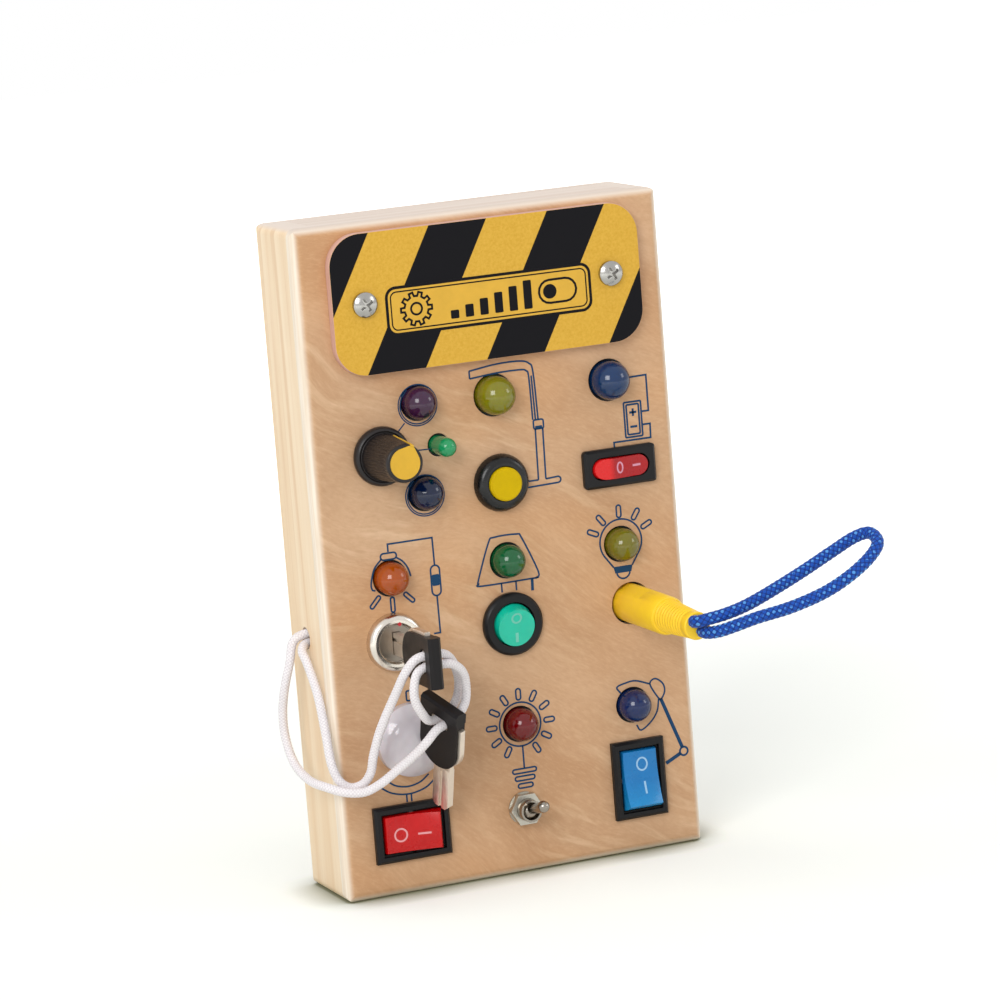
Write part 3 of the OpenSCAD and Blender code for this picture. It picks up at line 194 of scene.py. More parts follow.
def front_wood():
    """Sanded veneer: soft clouds, thin curly streaks that fall to the right, and short pores."""
    s = Shade("wood_front", rough=0.48, spec=0.35)
    sway = s.math("MULTIPLY", s.math("SUBTRACT", s.noise(s.p, 16.0), 0.5), GRAIN_SWAY)
    lift = s.node("CombineXYZ", {2: sway}).outputs[0]
    bent = s.node("VectorMath", {0: s.p, 1: lift}, operation="ADD").outputs[0]
    turned = s.node("VectorRotate", {"Vector": bent, "Angle": GRAIN_ANGLE}, rotation_type="Y_AXIS")
    grain = turned.outputs[0]
    cloud = s.noise(grain, (20, 20, 44), 4.0, 0.6, 0.5)
    tone = s.tint((187, 144, 106), (205, 166, 130), cloud, 0.34, 0.66)
    warm = s.noise(grain, (14, 20, 26))
    tone = s.tint(tone, (212, 156, 104), warm, 0.5, 0.72, 0.45)
    streak = s.noise(grain, (34, 60, 330), 3.0, 0.65)
    patch = s.span(s.noise(s.p, 30.0), 0.4, 0.62)
    shown = s.math("MULTIPLY", s.span(streak, 0.52, 0.68), s.math("MULTIPLY", patch, 0.46))
    tone = s.mix(shown, tone, (229, 196, 160))
    pores = s.noise(grain, (380, 500, 1300), 3.0, 0.75)
    tone = s.tint(tone, (168, 124, 86), pores, 0.5, 0.7, 0.2)
    tone = s.tint(tone, (228, 192, 158), pores, 0.5, 0.3, 0.22)
    forward = s.math("MULTIPLY", s.facing()[1], -1.0)
    # Edges that don't face forward get the ply colour with its painted highlight and shade.
    s.paint(s.tint(ply_edge_and_highlight(s), tone, forward, 0.7, 0.97))
    return s.bump(pores, PORE_DEPTH, 0.6).material


def ply_edge_and_highlight(s):
    """The paler layers on the edges of the front sheet with a painted highlight on their rounded edge, and
    painted shade that makes them greyer on the top.
    """
    plies = s.noise(s.p, (40, 1300, 40), 1.0)
    edge = s.tint(PLY_EDGE_WITH_HIGHLIGHT, PALE_PLY_WITH_HIGHLIGHT, plies, 0.4, 0.6)
    return s.tint(edge, PLY_TOP_SHADE, s.facing()[2], 0.4, 0.9)


def pine(name, pale, mid, dark, along):
    """Planed pine with lengthwise growth bands along the x or z axis, and greyer end grain."""
    s = Shade(name, rough=0.5, coat=0.08, coat_rough=0.35)
    scale = [0, 150.0, 0]
    scale[along] = 5.0
    scale[2 - along] = 110.0
    bands = s.noise(s.p, tuple(scale), 2.0, 0.5, 0.25)
    tone = s.tint(mid, pale, bands, 0.34, 0.6)
    late = s.noise(s.p, tuple(c * k for c, k in zip(scale, (1.0, 2.6, 1.9))), 1.0, 0.4, 0.2)
    tone = s.tint(tone, dark, late, 0.56, 0.68, 0.55)
    fine = s.noise(s.p, tuple(c * 9 for c in scale), 2.0, 0.6)
    tone = s.tint(tone, dark, fine, 0.35, 0.7, 0.22)
    s.paint(s.tint(tone, END_GRAIN, s.math("ABSOLUTE", s.facing()[along]), 0.55, 0.9))
    return s.bump(fine, PORE_DEPTH, 0.6).material


# ---------- plastics, metals, cloth ----------
# Painted shade: the near-black of the gap round a paddle, painted on its pivots.
PIVOT_GAP_SHADE = (12, 11, 12)
BIG_HALF = 5.1          # from the middle of a paddle to its pivots, mm
MINI_HALF = 2.8
CELL_HALF = 15.0        # from the middle of a cell to its bare ends, mm


def plastic(name, color, rough=0.35, spec=0.5):
    return Shade(name, color, rough, spec=spec).worn().material


def paddle(name, color, axis, middle, reach, lit_end=None):
    """A glossy rocker; its pivots, more than reach mm from the middle along an axis, are painted
    near-black, a painted shade of the gap round them. The last argument is the axis, the start and end in
    mm and the colour of a paler end, which is painted light for the light that falls on that end."""
    s = Shade(name, color, 0.28, spec=0.4).worn(0.04)
    tone = s.shader.inputs["Base Color"].links[0].from_socket
    if lit_end:
        end, start, stop, pale = lit_end
        # Painted light: the end where the light falls is painted paler.
        tone = s.tint(tone, pale, s.axes()[end], start * MM, stop * MM)
    away = s.math("ABSOLUTE", s.math("SUBTRACT", s.axes()[axis], middle * MM))
    # Painted shade on the pivots, which sit in the gap.
    return s.paint(s.tint(tone, PIVOT_GAP_SHADE, away, reach * MM, (reach + 0.02) * MM)).material


def metal(name, color, rough):
    s = Shade(name, color, rough, metal=1.0)
    return s.worn(scale=420.0, grit=3000.0, grit_size=0.000006, rough=0.05).material


def lens(name, color, deep):
    """A tinted diffusing lamp dome: smooth outside, evenly cloudy inside, with painted shade at its rims as
    seen.
    """
    s = Shade(name, color, 0.1, glow=0.1)
    cloud = s.noise(s.p, 180.0)
    tone = s.tint(color, tuple(c * 0.95 for c in color), cloud, 0.3, 0.7)
    rim_shade_mask = s.node("LayerWeight", {"Blend": 0.4}).outputs["Facing"]
    # Painted shade: the rims as seen turn towards the second, deeper colour.
    s.paint(s.tint(tone, deep, rim_shade_mask, 0.2, 1.0, 0.8))
    return s.bump(s.noise(s.p, 500.0, 1.0), 0.000002).material


def braid(name, color, groove_shade, highlight_fleck, strands, pitch, highlight_share):
    """Braided cord: cells of crossing strands in the tube's own UV, u round it and v metres along. Painted
    shade darkens the grooves between the strands, and some raised cells carry a painted highlight fleck."""
    s = Shade(name, color, 0.62, spec=0.25, sheen=0.12)
    uv = s.axes(s.node("UVMap", uv_map="along").outputs[0])
    a = s.math("MULTIPLY", uv[0], math.pi * strands)
    b = s.math("MULTIPLY", uv[1], math.pi * strands / pitch)
    one = s.math("SINE", s.math("ADD", a, b))
    two = s.math("SINE", s.math("SUBTRACT", a, b))
    cell = s.math("MULTIPLY", one, two)
    raised = s.math("ABSOLUTE", cell)
    # Painted shade in the grooves between the strands.
    tone = s.tint(groove_shade, color, raised, 0.0, 0.45)
    # Painted highlight flecks on some raised cells, picked by noise.
    highlight_cells = s.math("MULTIPLY", s.span(cell, 0.25, 0.6), s.span(s.noise(s.p, 700.0, 1.0), 0.45, 0.55))
    tone = s.mix(s.math("MULTIPLY", highlight_cells, highlight_share), tone, highlight_fleck)
    hair = s.noise(s.p, (2600, 2600, 2600))
    s.paint(s.tint(tone, groove_shade, hair, 0.3, 0.7, 0.14))
    return s.bump(s.math("ADD", raised, s.math("MULTIPLY", hair, 0.3)), 0.00006).material


def cell_wrap():
    """The printed sleeve of a dry cell, with bare metal at both ends."""
    green = (52, 112, 82)
    s = Shade("cell_wrap", green, 0.35, coat=0.4)
    x = s.math("MULTIPLY", s.axes()[0], 1 / MM)
    s.paint(s.tint(green, (190, 186, 176), s.math("ABSOLUTE", x), CELL_HALF, CELL_HALF + 0.4))
    return s.bump(s.noise(s.p, 1500.0), 0.000008).material


def circuit():
    """Green lacquer over copper tracks."""
    s = Shade("circuit", (36, 96, 62), 0.4, coat=0.5)
    net = s.node("TexVoronoi", {"Vector": s.stretch(s.p, (420, 1, 300)), "Scale": 1.0},
                 feature="DISTANCE_TO_EDGE")
    track = s.span(net.outputs[0], 0.03, 0.08)
    s.paint(s.mix(track, (96, 140, 84), (30, 86, 56)))
    return s.bump(track, 0.00002).material


def striped_yellow():
    """Yellow printed face; the sheet's own edge is a pinkish cream."""
    s = Shade("plate_yellow", (216, 168, 60), 0.42, spec=0.25)
    grain = s.noise(s.p, 1400.0, 2.0, 0.7)
    face = s.tint((206, 158, 50), (218, 172, 66), grain, 0.3, 0.7)
    forward = s.math("MULTIPLY", s.facing()[1], -1.0)
    s.paint(s.tint((206, 164, 150), face, forward, 0.75, 0.9))
    return s.bump(grain, 0.000012).material


M_FRONT = front_wood()
M_SIDE = pine("wood_side", (243, 221, 190), (234, 205, 167), (220, 182, 138), Z)
M_TOP = pine("wood_top", (226, 211, 199), (218, 199, 184), (206, 184, 164), X)
M_BACK = pine("wood_back", (228, 204, 168), (220, 192, 152), (204, 172, 130), Z)
M_LINE = plastic("line_print", (30, 64, 98), 0.6, spec=0.12)
M_BLACK_PRINT = plastic("black_print", (9, 8, 13), 0.45, spec=0.12)
M_LABEL = plastic("label_yellow", (214, 167, 60), 0.42, spec=0.25)
M_RED_DOT = plastic("red_paint", (190, 30, 40), 0.4)
M_BLACK = plastic("bezel_black", (15, 14, 16), 0.36, spec=0.25)
M_KNOB = plastic("knob_black", (31, 27, 27), 0.34, spec=0.32)
M_KEY_BLACK = plastic("key_black", (20, 17, 18), 0.4, spec=0.22)
M_SCREW = metal("screw_steel", (166, 164, 160), 0.2)
M_NICKEL = metal("nickel", (152, 145, 136), 0.16)
M_DULL = metal("zinc", (186, 182, 172), 0.32)
M_TIN = metal("tinned", (205, 202, 192), 0.3)
M_BRASS = metal("brass", (214, 190, 128), 0.3)

# Each lamp's second colour is the painted shade at its rims.
LENSES = {
    "lamp_purple": ((58, 22, 56), (30, 10, 30)), "lamp_navy": ((2, 22, 60), (0, 10, 34)),
    "lamp_street": ((126, 122, 12), (92, 88, 6)), "lamp_battery": ((0, 44, 90), (0, 20, 54)),
    "lamp_pendant": ((170, 74, 0), (124, 44, 0)), "lamp_table": ((8, 92, 48), (4, 58, 30)),
    "lamp_bulb": ((116, 110, 20), (82, 78, 8)), "lamp_sun": ((108, 0, 6), (66, 0, 2)),
    "lamp_desk": ((10, 34, 88), (4, 16, 50)), "lamp_small_green": ((26, 150, 92), (8, 106, 60)),
    "dome_lamp": ((208, 201, 207), (194, 187, 195)),
}
FINISH = {
    M_FRONT: ["front_panel"], M_SIDE: ["frame_left", "frame_right"], M_TOP: ["frame_top", "frame_bottom"],
    M_BACK: ["back_panel"], striped_yellow(): ["striped_plate"], M_SCREW: ["plate_screws"],
    M_DULL: ["back_screws", "door_screw", "pot_body", "panel_nuts"],
    M_TIN: ["lamp_leads", "battery_contacts", "button_spring", "knob_shaft"],
    M_BRASS: ["switch_terminals", "plug_contacts"],
    plastic("ring_black", (10, 10, 11), 0.26, spec=0.4): ["button_housing"],
    M_BLACK: ["lamp_holders", "button_nut", "mini_case", "round_case", "red_case",
              "blue_case", "jack_socket", "battery_box", "battery_door"],
    M_NICKEL: ["toggle_case", "toggle_lever"],
    metal("chrome", (218, 210, 200), 0.22): ["lock_barrel"],
    metal("lock_brass", (146, 136, 125), 0.33): ["lock_core"],
    M_KEY_BLACK: ["key_grip", "spare_grip"],
    metal("key_metal", (228, 216, 203), 0.42): ["key_blade", "spare_blade"],
    plastic("cap_yellow", (200, 168, 0), 0.4, spec=0.12): ["button_cap"],
    plastic("pointer_yellow", (214, 168, 52), 0.4, spec=0.25): ["knob_pointer"],
    # The last tuple of the mini and blue paddles gives their paler end, which is painted light.
    paddle("rocker_red", (188, 0, 4), Z, RED_AT[1], BIG_HALF): ["red_paddle"],
    paddle("mini_red", (162, 0, 10), Z, MINI_AT[1], MINI_HALF,
           (X, 32.0, 30.4, (214, 22, 24))): ["mini_paddle"],
    # Its second colour is painted shade at its rims, as on the lamps.
    lens("rocker_green", (12, 198, 166), (4, 124, 98)): ["round_paddle"],
    paddle("rocker_blue", (18, 114, 180), X, BLUE_AT[0], BIG_HALF,
           (Z, 20.0, 13.0, (26, 134, 196))): ["blue_paddle"],
    plastic("plug_yellow", (253, 203, 36), 0.42): ["plug_shell"],
    cell_wrap(): ["batteries"], circuit(): ["circuit_board"],
}
for lamp, (tone, deep) in LENSES.items():
    FINISH[lens("lens_" + lamp, tone, deep)] = [lamp]

STRANDS = 6             # strands of a braid that run each way round
WHITE_PITCH = 0.0052    # metres in which a strand goes round once
BLUE_PITCH = 0.0092
# Each cord's second colour is its painted groove shade, and its third is its painted highlight flecks.
M_WHITE_CORD = braid("cord_white", (240, 235, 237), (218, 210, 214), (250, 248, 249),
                     STRANDS, WHITE_PITCH, 0.5)
M_BLUE_CORD = braid("cord_blue", (10, 76, 176), (4, 38, 108), (96, 170, 236), STRANDS, BLUE_PITCH, 0.75)
FINISH[M_WHITE_CORD] = ["cord_knot", "key_cord"]
FINISH[M_BLUE_CORD] = ["blue_loop"]
for finish, names in FINISH.items():
    for name in names:
        mesh = nodes[name].data
        mesh.materials.clear()
        mesh.materials.append(finish)


# ---------- mesh helpers ----------
def piece(name, bm, mat, body, smooth=False):
    """Turns a bmesh into a named object with a material, which rides on a body."""
    bmesh.ops.recalc_face_normals(bm, faces=bm.faces)
    mesh = bpy.data.meshes.new(name)
    bm.to_mesh(mesh)
    bm.free()
    mesh.materials.append(mat)
    for p in mesh.polygons:
        p.use_smooth = smooth
    obj = bpy.data.objects.new(name, mesh)
    scene.collection.objects.link(obj)
    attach(obj, body)
    return obj


def on_face(y):
    """Places a point that is drawn in the board's plane, h mm out from the plane y."""
    return lambda x, z, h: Vector((x, y - h, z)) * MM


def skin(bm, rings, closed=False):
    """Quads between rings of points, from each ring to the next, and back to the first if closed."""
    for a, b in zip(rings, rings[1:] + rings[:1] if closed else rings[1:]):
        for k in range(len(a)):
            m = (k + 1) % len(a)
            bm.faces.new((a[k], a[m], b[m], b[k]))


def prism(bm, outline, place, ink):
    """A flat print with a closed outline. ink is its low and high face, in mm out from the surface."""
    rings = [[bm.verts.new(place(x, z, h)) for x, z in outline] for h in ink]
    bm.faces.new(rings[0])
    bm.faces.new(list(reversed(rings[1])))
    skin(bm, rings)


def stroke(bm, pts, width, place, ink, closed=False):
    """A printed line: a thin closed ribbon with mitred corners, between the two heights of ink."""
    pts = [Vector(p) for p in pts]
    low, high = ink
    n, cut = len(pts), []
    for i, p in enumerate(pts):
        before = pts[i - 1] if closed or i else None
        after = pts[(i + 1) % n] if closed or i < n - 1 else None
        d1 = (p - before).normalized() if before is not None else (after - p).normalized()
        d2 = (after - p).normalized() if after is not None else d1
        mid = (d1 + d2).normalized()
        out = Vector((-mid.y, mid.x))
        size = width / 2 / max(0.5, mid.dot(d1))
        cut.append([bm.verts.new(place(*(p + s * size * out), h)) for s, h in
                    ((1, high), (1, low), (-1, low), (-1, high))])
    skin(bm, cut, closed)
    if not closed:
        bm.faces.new(cut[0])
        bm.faces.new(list(reversed(cut[-1])))


def polar(cx, cz, r, angle, rz=None):
    """The point at an angle in degrees on a circle, or on an ellipse of the heights rz."""
    a = math.radians(angle)
    return cx + r * math.cos(a), cz + (rz or r) * math.sin(a)


def arc(cx, cz, r, a0, a1, n=24, rz=None):
    return [polar(cx, cz, r, a0 + (a1 - a0) * i / n, rz) for i in range(n + 1)]


def circle(cx, cz, r, n=48, rz=None):
    return arc(cx, cz, r, 0, 360, n, rz)[:-1]


def capsule(cx, cz, length, width, angle):
    """Outline of a bar with round ends, turned by angle."""
    r = width / 2
    s = (length - width) / 2
    flat = arc(s, 0, r, -90, 90, 8) + arc(-s, 0, r, 90, 270, 8)
    c = math.cos(math.radians(angle))
    d = math.sin(math.radians(angle))
    return [(cx + x * c - z * d, cz + x * d + z * c) for x, z in flat]


def rounded(x0, z0, x1, z1, r, n=8):
    """Outline of a rectangle with round corners."""
    return (arc(x1 - r, z1 - r, r, 0, 90, n) + arc(x0 + r, z1 - r, r, 90, 180, n)
            + arc(x0 + r, z0 + r, r, 180, 270, n) + arc(x1 - r, z0 + r, r, 270, 360, n))


def spline(pts, steps=6, closed=False):
    """A Catmull-Rom curve through points of any dimension."""
    pts = [Vector(p) for p in pts]
    n = len(pts)

    def at(i):
        if closed:
            return pts[i % n]
        if i < 0:
            return 2 * pts[0] - pts[1]
        return pts[i] if i < n else 2 * pts[-1] - pts[-2]
    out = []
    for i in range(n if closed else n - 1):
        a, b, c, d = at(i - 1), at(i), at(i + 1), at(i + 2)
        for k in range(steps):
            t = k / steps
            out.append(0.5 * (2 * b + (c - a) * t + (2 * a - 5 * b + 4 * c - d) * t * t
                              + (3 * b - a - 3 * c + d) * t * t * t))
    return out if closed else out + [pts[-1]]


def even(line, step):
    """The same line with points a fixed step apart."""
    out, left = [line[0]], step
    for a, b in zip(line, line[1:]):
        d = (b - a).length
        t = left
        while t <= d:
            out.append(a + (b - a) * (t / d))
            t += step
        left = t - d
    if (out[-1] - line[-1]).length < step * 0.4:
        out.pop()
    return out + [line[-1]]


def braided_tube(name, line, radius, sides, pitch, relief, mat, body):
    """A tube whose skin rises by a share, relief, of its radius over the cells of the braid."""
    bm = bmesh.new()
    uv = bm.loops.layers.uv.new("along")
    n, side, run, rings, at = len(line), Vector((0.1, 0.2, 1)), 0.0, [], []
    for i, p in enumerate(line):
        t = (line[min(i + 1, n - 1)] - line[max(i - 1, 0)]).normalized()
        side = (side - side.dot(t) * t).normalized()
        up = t.cross(side)
        run += (p - line[i - 1]).length if i else 0.0
        at.append(run)
        ring = []
        for k in range(sides):
            a = 2 * math.pi * k / sides
            one = math.sin(STRANDS * a / 2 + math.pi * STRANDS * run / pitch)
            two = math.sin(STRANDS * a / 2 - math.pi * STRANDS * run / pitch)
            r = radius * (1 - relief + relief * min(1.0, 1.6 * abs(one * two)))
            ring.append(bm.verts.new(p + r * (math.cos(a) * side + math.sin(a) * up)))
        rings.append(ring)
    for i in range(n - 1):
        for k in range(sides):
            m = (k + 1) % sides
            f = bm.faces.new((rings[i][k], rings[i][m], rings[i + 1][m], rings[i + 1][k]))
            for loop, (u, v) in zip(f.loops, ((k, i), (k + 1, i), (k + 1, i + 1), (k, i + 1))):
                loop[uv].uv = (u / sides, at[v])
    for end in (rings[0], rings[-1]):
        bm.faces.new(end)
    return piece(name, bm, mat, body, True)


WHITE = [(-43.3, 1.2, 69.7), (-50.5, 1.1, 69.7), (-54.5, 1.3, 68), (-56.3, 0.4, 62.8), (-58, 1, 56.5),
         (-58.6, 2.7, 49.5), (-58.4, 2.8, 42.6), (-57.8, -0.9, 36.3), (-56.8, -8.5, 33.2),
         (-55, -15.6, 32.4), (-51.3, -19.9, 31.2), (-46.6, -21.6, 30.9), (-42.3, -23.2, 33),
         (-38.6, -26.2, 36.6), (-35.2, -30.6, 40.8), (-33, -33.6, 44.2), (-30.3, -33.7, 46.7),
         (-26.9, -32.6, 47.8), (-23.4, -31.9, 49.2), (-21, -31.6, 52.4), (-20.7, -32.2, 56.6),
         (-21.9, -33.9, 60.5), (-25, -36, 63.4), (-28.6, -37, 64.3), (-32.3, -37.2, 64.4),
         (-35.5, -37.4, 63.1), (-36.8, -37.4, 59.6), (-36.5, -36.6, 55.8), (-34.6, -35, 52.4),
         (-31.4, -31.6, 49.1), (-27.9, -30, 48.9), (-24.6, -29, 50), (-22, -28.6, 53.2),
         (-21.4, -29.2, 57.4), (-22.9, -31.4, 61.8), (-25.7, -34.4, 65.4), (-28.8, -36.6, 67),
         (-32.3, -37.2, 67.2), (-35.8, -36.8, 66.3), (-38.2, -34.8, 62.6), (-39.6, -31.4, 57.4),
         (-41.2, -27.9, 51.8), (-42.9, -25.2, 46), (-44, -22.8, 40), (-44.3, -20.8, 35.6),
         (-45.8, -18.8, 32.5), (-48.8, -17.4, 31.6), (-51.6, -16.6, 33.7), (-53, -15.6, 38.4),
         (-52.9, -12.8, 46.6), (-52.8, -9.2, 55.4), (-53.4, -5.2, 62.8), (-53.5, -2.2, 65.8),
         (-51.4, 0.4, 67.1), (-48, 1, 67.1), (-43.3, 1.2, 67.1)]
BLUE = [(36.3, -54.6, 65.8), (36.5, -57.6, 65.8), (38.4, -60.8, 66.4), (41.8, -63.4, 67.7),
        (47, -65.8, 69.4), (55.5, -68.2, 71.2), (64.3, -70, 74), (71.5, -71, 77.6), (77.5, -70.6, 81.4),
        (81, -68.6, 84.4), (81, -64.4, 86.3), (77.5, -62.4, 85.4), (71.5, -61.8, 82.6),
        (62.4, -61.5, 78.4), (52.9, -61.2, 74.4), (46.1, -61, 71.9), (40.8, -60.4, 70.5),
        (36.8, -58.9, 69.6), (34.6, -57, 68.9), (34.1, -54.6, 68.6)]
WHITE_STEP = 0.00028    # metres from ring to ring of the mesh
BLUE_STEP = 0.00032
WHITE_R = 0.0012
BLUE_R = 0.00165
white_line = [p * MM for p in spline(WHITE, 8)]
blue_line = [p * MM for p in spline(BLUE, 8)]
white = braided_tube("white_cord", even(white_line, WHITE_STEP), WHITE_R, 30, WHITE_PITCH, 0.1,
                     M_WHITE_CORD, "board")
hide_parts("key_cord")
blue = braided_tube("blue_cord", even(blue_line, BLUE_STEP), BLUE_R, 32, BLUE_PITCH, 0.08,
                    M_BLUE_CORD, "plug")
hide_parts("blue_loop")


# ---------- line drawings on the board ----------
LINE = 0.47
LINE_INK = (-0.03, 0.03)


def drawing(name, lines=(), loops=(), fills=(), width=LINE):
    """A line drawing on the board, of open lines, closed lines and filled outlines."""
    bm = bmesh.new()
    place = on_face(FACE_Y)
    for pts in lines:
        stroke(bm, pts, width, place, LINE_INK)
    for pts in loops:
        stroke(bm, pts, width, place, LINE_INK, closed=True)
    for pts in fills:
        prism(bm, pts, place, LINE_INK)
    piece(name, bm, M_LINE, "board")


def rays(middle, rx, rz, length, width, angles):
    """Short bars that point away from a middle, on an ellipse round it."""
    return [capsule(*polar(*middle, rx, a, rz), length, width, a) for a in angles]


DIAL_LAMPS = ((-20.55, 127.4), (-20.55, 103.8))
drawing("drawing_dial",
        lines=[[(-26.4, 121.3), (-24.5, 123.2)], [(-24.0, 115.8), (-17.2, 115.6)]]
        + [arc(x, z, 4.85, 122, 418, 40) for x, z in DIAL_LAMPS],
        loops=[circle(x, z, 5.35) for x, z in DIAL_LAMPS], width=0.34)
drawing("drawing_street_lamp",
        lines=[spline([(11.1, 119.4), (10.9, 130.6), (10.3, 132.4), (8.6, 132.9), (2, 132.9),
                       (-5.6, 132.3)], 5),
               [(-5.6, 132.3), (-5.6, 134.3)],
               spline([(-5.6, 134.3), (2, 135.2), (8.4, 135.2), (11.2, 134.3), (12.2, 131.8),
                       (12.6, 119.4)], 5),
               [(11.6, 116.9), (11.4, 103.5)], [(13.7, 116.9), (13.5, 103.5)],
               [(8.1, 103.5), (11.4, 103.5)], [(13.5, 103.5), (16.9, 103.7)], [(8.1, 101.9), (16.9, 102.1)],
               arc(16.9, 102.9, 0.8, -90, 90, 8), [(11.85, 119.4), (11.6, 131)]],
        loops=[rounded(11.2, 116.9, 14.0, 119.3, 0.5, 4)],
        fills=[rounded(11.6, 117.0, 13.6, 117.7, 0.2, 3)])
drawing("drawing_battery",
        lines=[[(38.6, 127), (44.1, 127.1), (44.1, 117.6), (42.2, 117.6)],
               [(42.2, 114.1), (44.3, 114.1), (44.2, 110.4), (33.6, 110.4), (33.6, 109.2)]],
        loops=[rounded(37.1, 111.2, 42.0, 120.5, 0.3, 3), rounded(37.8, 111.9, 41.3, 119.8, 0.3, 3)],
        width=0.5)
drawing("drawing_battery_signs",
        lines=[[(38.6, 117.7), (40.6, 117.7)], [(39.6, 118.7), (39.6, 116.7)],
               [(38.6, 113.9), (40.6, 113.9)]],
        width=0.6)
drawing("drawing_pendant",
        lines=[[(-32, 90.6), (-32, 92.6), (-19.6, 92.6), (-19.5, 85.4)],
               [(-19.5, 77.3), (-19.4, 67.5), (-21.2, 67.5)],
               spline([(-34.1, 88.9), (-36.2, 86.6), (-37.3, 83.2), (-37.2, 81.4), (-36.3, 81.0)], 5),
               spline([(-29.8, 88.8), (-28.2, 87.6), (-26.9, 85.6), (-26.3, 83.4)], 5)],
        loops=[rounded(-34.2, 88.6, -29.8, 90.3, 0.8, 4), capsule(-19.5, 81.3, 8.0, 2.5, 90),
               capsule(-36.6, 78.0, 3.9, 1.05, 47), capsule(-31.9, 76.7, 3.9, 1.05, 90),
               capsule(-27.2, 78.0, 3.6, 1.05, -45)],
        fills=[rounded(-20.5, 79.9, -18.5, 82.9, 0.3, 3)])
drawing("drawing_table_lamp",
        lines=[[(-1.3, 77.9), (-1.3, 75.4)], [(2.8, 77.9), (2.8, 75.4)]],
        loops=[spline([(-2.4, 90.2), (3.9, 90.2), (5.4, 88.9), (9.3, 79.6), (8.7, 78.0), (7.6, 77.9),
                       (-6.9, 77.9), (-7.7, 78.6), (-7.6, 79.8), (-4.1, 88.9)], 4, True)])
drawing("drawing_pull", lines=[[(7.4, 77.9), (7.3, 74.7)]], width=0.8)
BULB = (33.4, 84.0)
drawing("drawing_bulb",
        lines=[arc(*BULB, 6.0, -38, 218, 40), arc(33.5, 76.0, 1.9, 190, 350, 10),
               [(38.13, 80.31), (36.2, 77.4)], [(28.67, 80.31), (30.8, 77.4)]],
        loops=rays(BULB, 8.5, 8.1, 3.3, 1.25, (156, 128, 90, 56, 26)),
        fills=[[(30.7, 77.5), (36.3, 77.5), (35.8, 75.7), (31.2, 75.7)]])
SUN = (0.9, 39.9)
drawing("drawing_sun_bulb",
        lines=[[(1.0, 34.0), (1.0, 28.0)]],
        loops=[circle(SUN[0] - 0.1, SUN[1], 5.85)] + rays(SUN, 8.2, 8.0, 3.0, 1.3, range(-60, 241, 30))
        + [capsule(1.0, z, w, 1.15, 0) for z, w in ((27.4, 6.8), (25.4, 5.6), (23.4, 4.2))])
drawing("drawing_desk_lamp",
        lines=[spline([(30.2, 43.5), (29.1, 45.3), (31.6, 46.1), (34.6, 46.3), (38.7, 44.8)], 5),
               spline([(40.9, 40.4), (40.2, 37.2), (38.2, 34.6), (35.2, 32.8), (34.0, 34.4)], 5)],
        loops=[spline([(38.7, 44.8), (40.3, 46.0), (42.4, 44.4), (42.8, 42.2), (41.6, 40.3), (40.5, 41.2)],
                      5, True)])
drawing("drawing_desk_arms", lines=[[(41.5, 40.4), (46.7, 26.4)], [(46.0, 24.7), (41.7, 22.7)]], width=1.0)
drawing("drawing_desk_joint", loops=[circle(47.1, 25.2, 1.15, 20)], width=0.55)
drawing("drawing_dome_base",
        lines=[spline([(-37.6, 30.9), (-35.2, 29.2), (-31.8, 28.5), (-28.4, 29.2), (-25.9, 30.9)], 5),
               spline([(-39.8, 29.6), (-36.4, 27.4), (-31.8, 26.5), (-27.2, 27.4), (-24, 29.6)], 5),
               [(-32.5, 26.4), (-32.5, 24.4)], [(-31.2, 26.4), (-31.2, 24.4)]],
        loops=[rounded(-30.3, 51.0, -27.1, 53.6, 0.4, 3)])


# ---------- print on the plate ----------
PLATE_X = 0.4
PLATE_Z = 155.3
PLATE_W = 86.0
PLATE_H = 36.5
PLATE_R = 8.5
PLATE_MARGIN = 0.12     # bare rim round the stripes
STRIPES = [(-60, -41.2), (-24.6, -8.6), (8.4, 24.6), (43.0, 60)]
STRIPE_LEAN = 0.545     # mm to the right for each mm up
LABEL_X = 0.5
LABEL_Z = 152.6
LABEL_W = 57.0
LABEL_H = 12.4
STRIPE_INK = (-0.02, 0.02)
LABEL_INK = (-0.02, 0.035)
SIGN_INK = (-0.02, 0.06)
plate_face = on_face(PLATE_Y)


def half_plane(poly, limit, keep_above):
    """The part of a convex outline on one side of a line that leans as the stripes do."""
    def dist(p):
        d = p[0] - STRIPE_LEAN * (p[1] - PLATE_Z) - limit
        return d if keep_above else -d
    out = []
    for i, p in enumerate(poly):
        q = poly[(i + 1) % len(poly)]
        a, b = dist(p), dist(q)
        if a >= 0:
            out.append(p)
        if (a > 0 > b) or (a < 0 < b):
            t = a / (a - b)
            out.append((p[0] + (q[0] - p[0]) * t, p[1] + (q[1] - p[1]) * t))
    return out


def plate_stripes():
    x0 = PLATE_X - PLATE_W / 2 + PLATE_MARGIN
    z0 = PLATE_Z - PLATE_H / 2 + PLATE_MARGIN
    outline = rounded(x0, z0, 2 * PLATE_X - x0, 2 * PLATE_Z - z0, PLATE_R - PLATE_MARGIN, 12)
    bm = bmesh.new()
    for left, right in STRIPES:
        stripe = half_plane(half_plane(outline, left, True), right, False)
        prism(bm, stripe, plate_face, STRIPE_INK)
    piece("plate_stripes", bm, M_BLACK_PRINT, "board")


def label_outline(inset, r):
    x = LABEL_W / 2 - inset
    z = LABEL_H / 2 - inset
    return rounded(LABEL_X - x, LABEL_Z - z, LABEL_X + x, LABEL_Z + z, r)


def plate_label():
    bm = bmesh.new()
    prism(bm, label_outline(0, 2.6), plate_face, LABEL_INK)
    piece("plate_label", bm, M_LABEL, "board")


def gear_outline(cx, cz, root, tip, teeth):
    pitch = 360 // teeth
    return [polar(cx, cz, r, pitch * k + a) for k in range(teeth)
            for a, r in ((-10, root), (-7, tip), (7, tip), (10, root))]


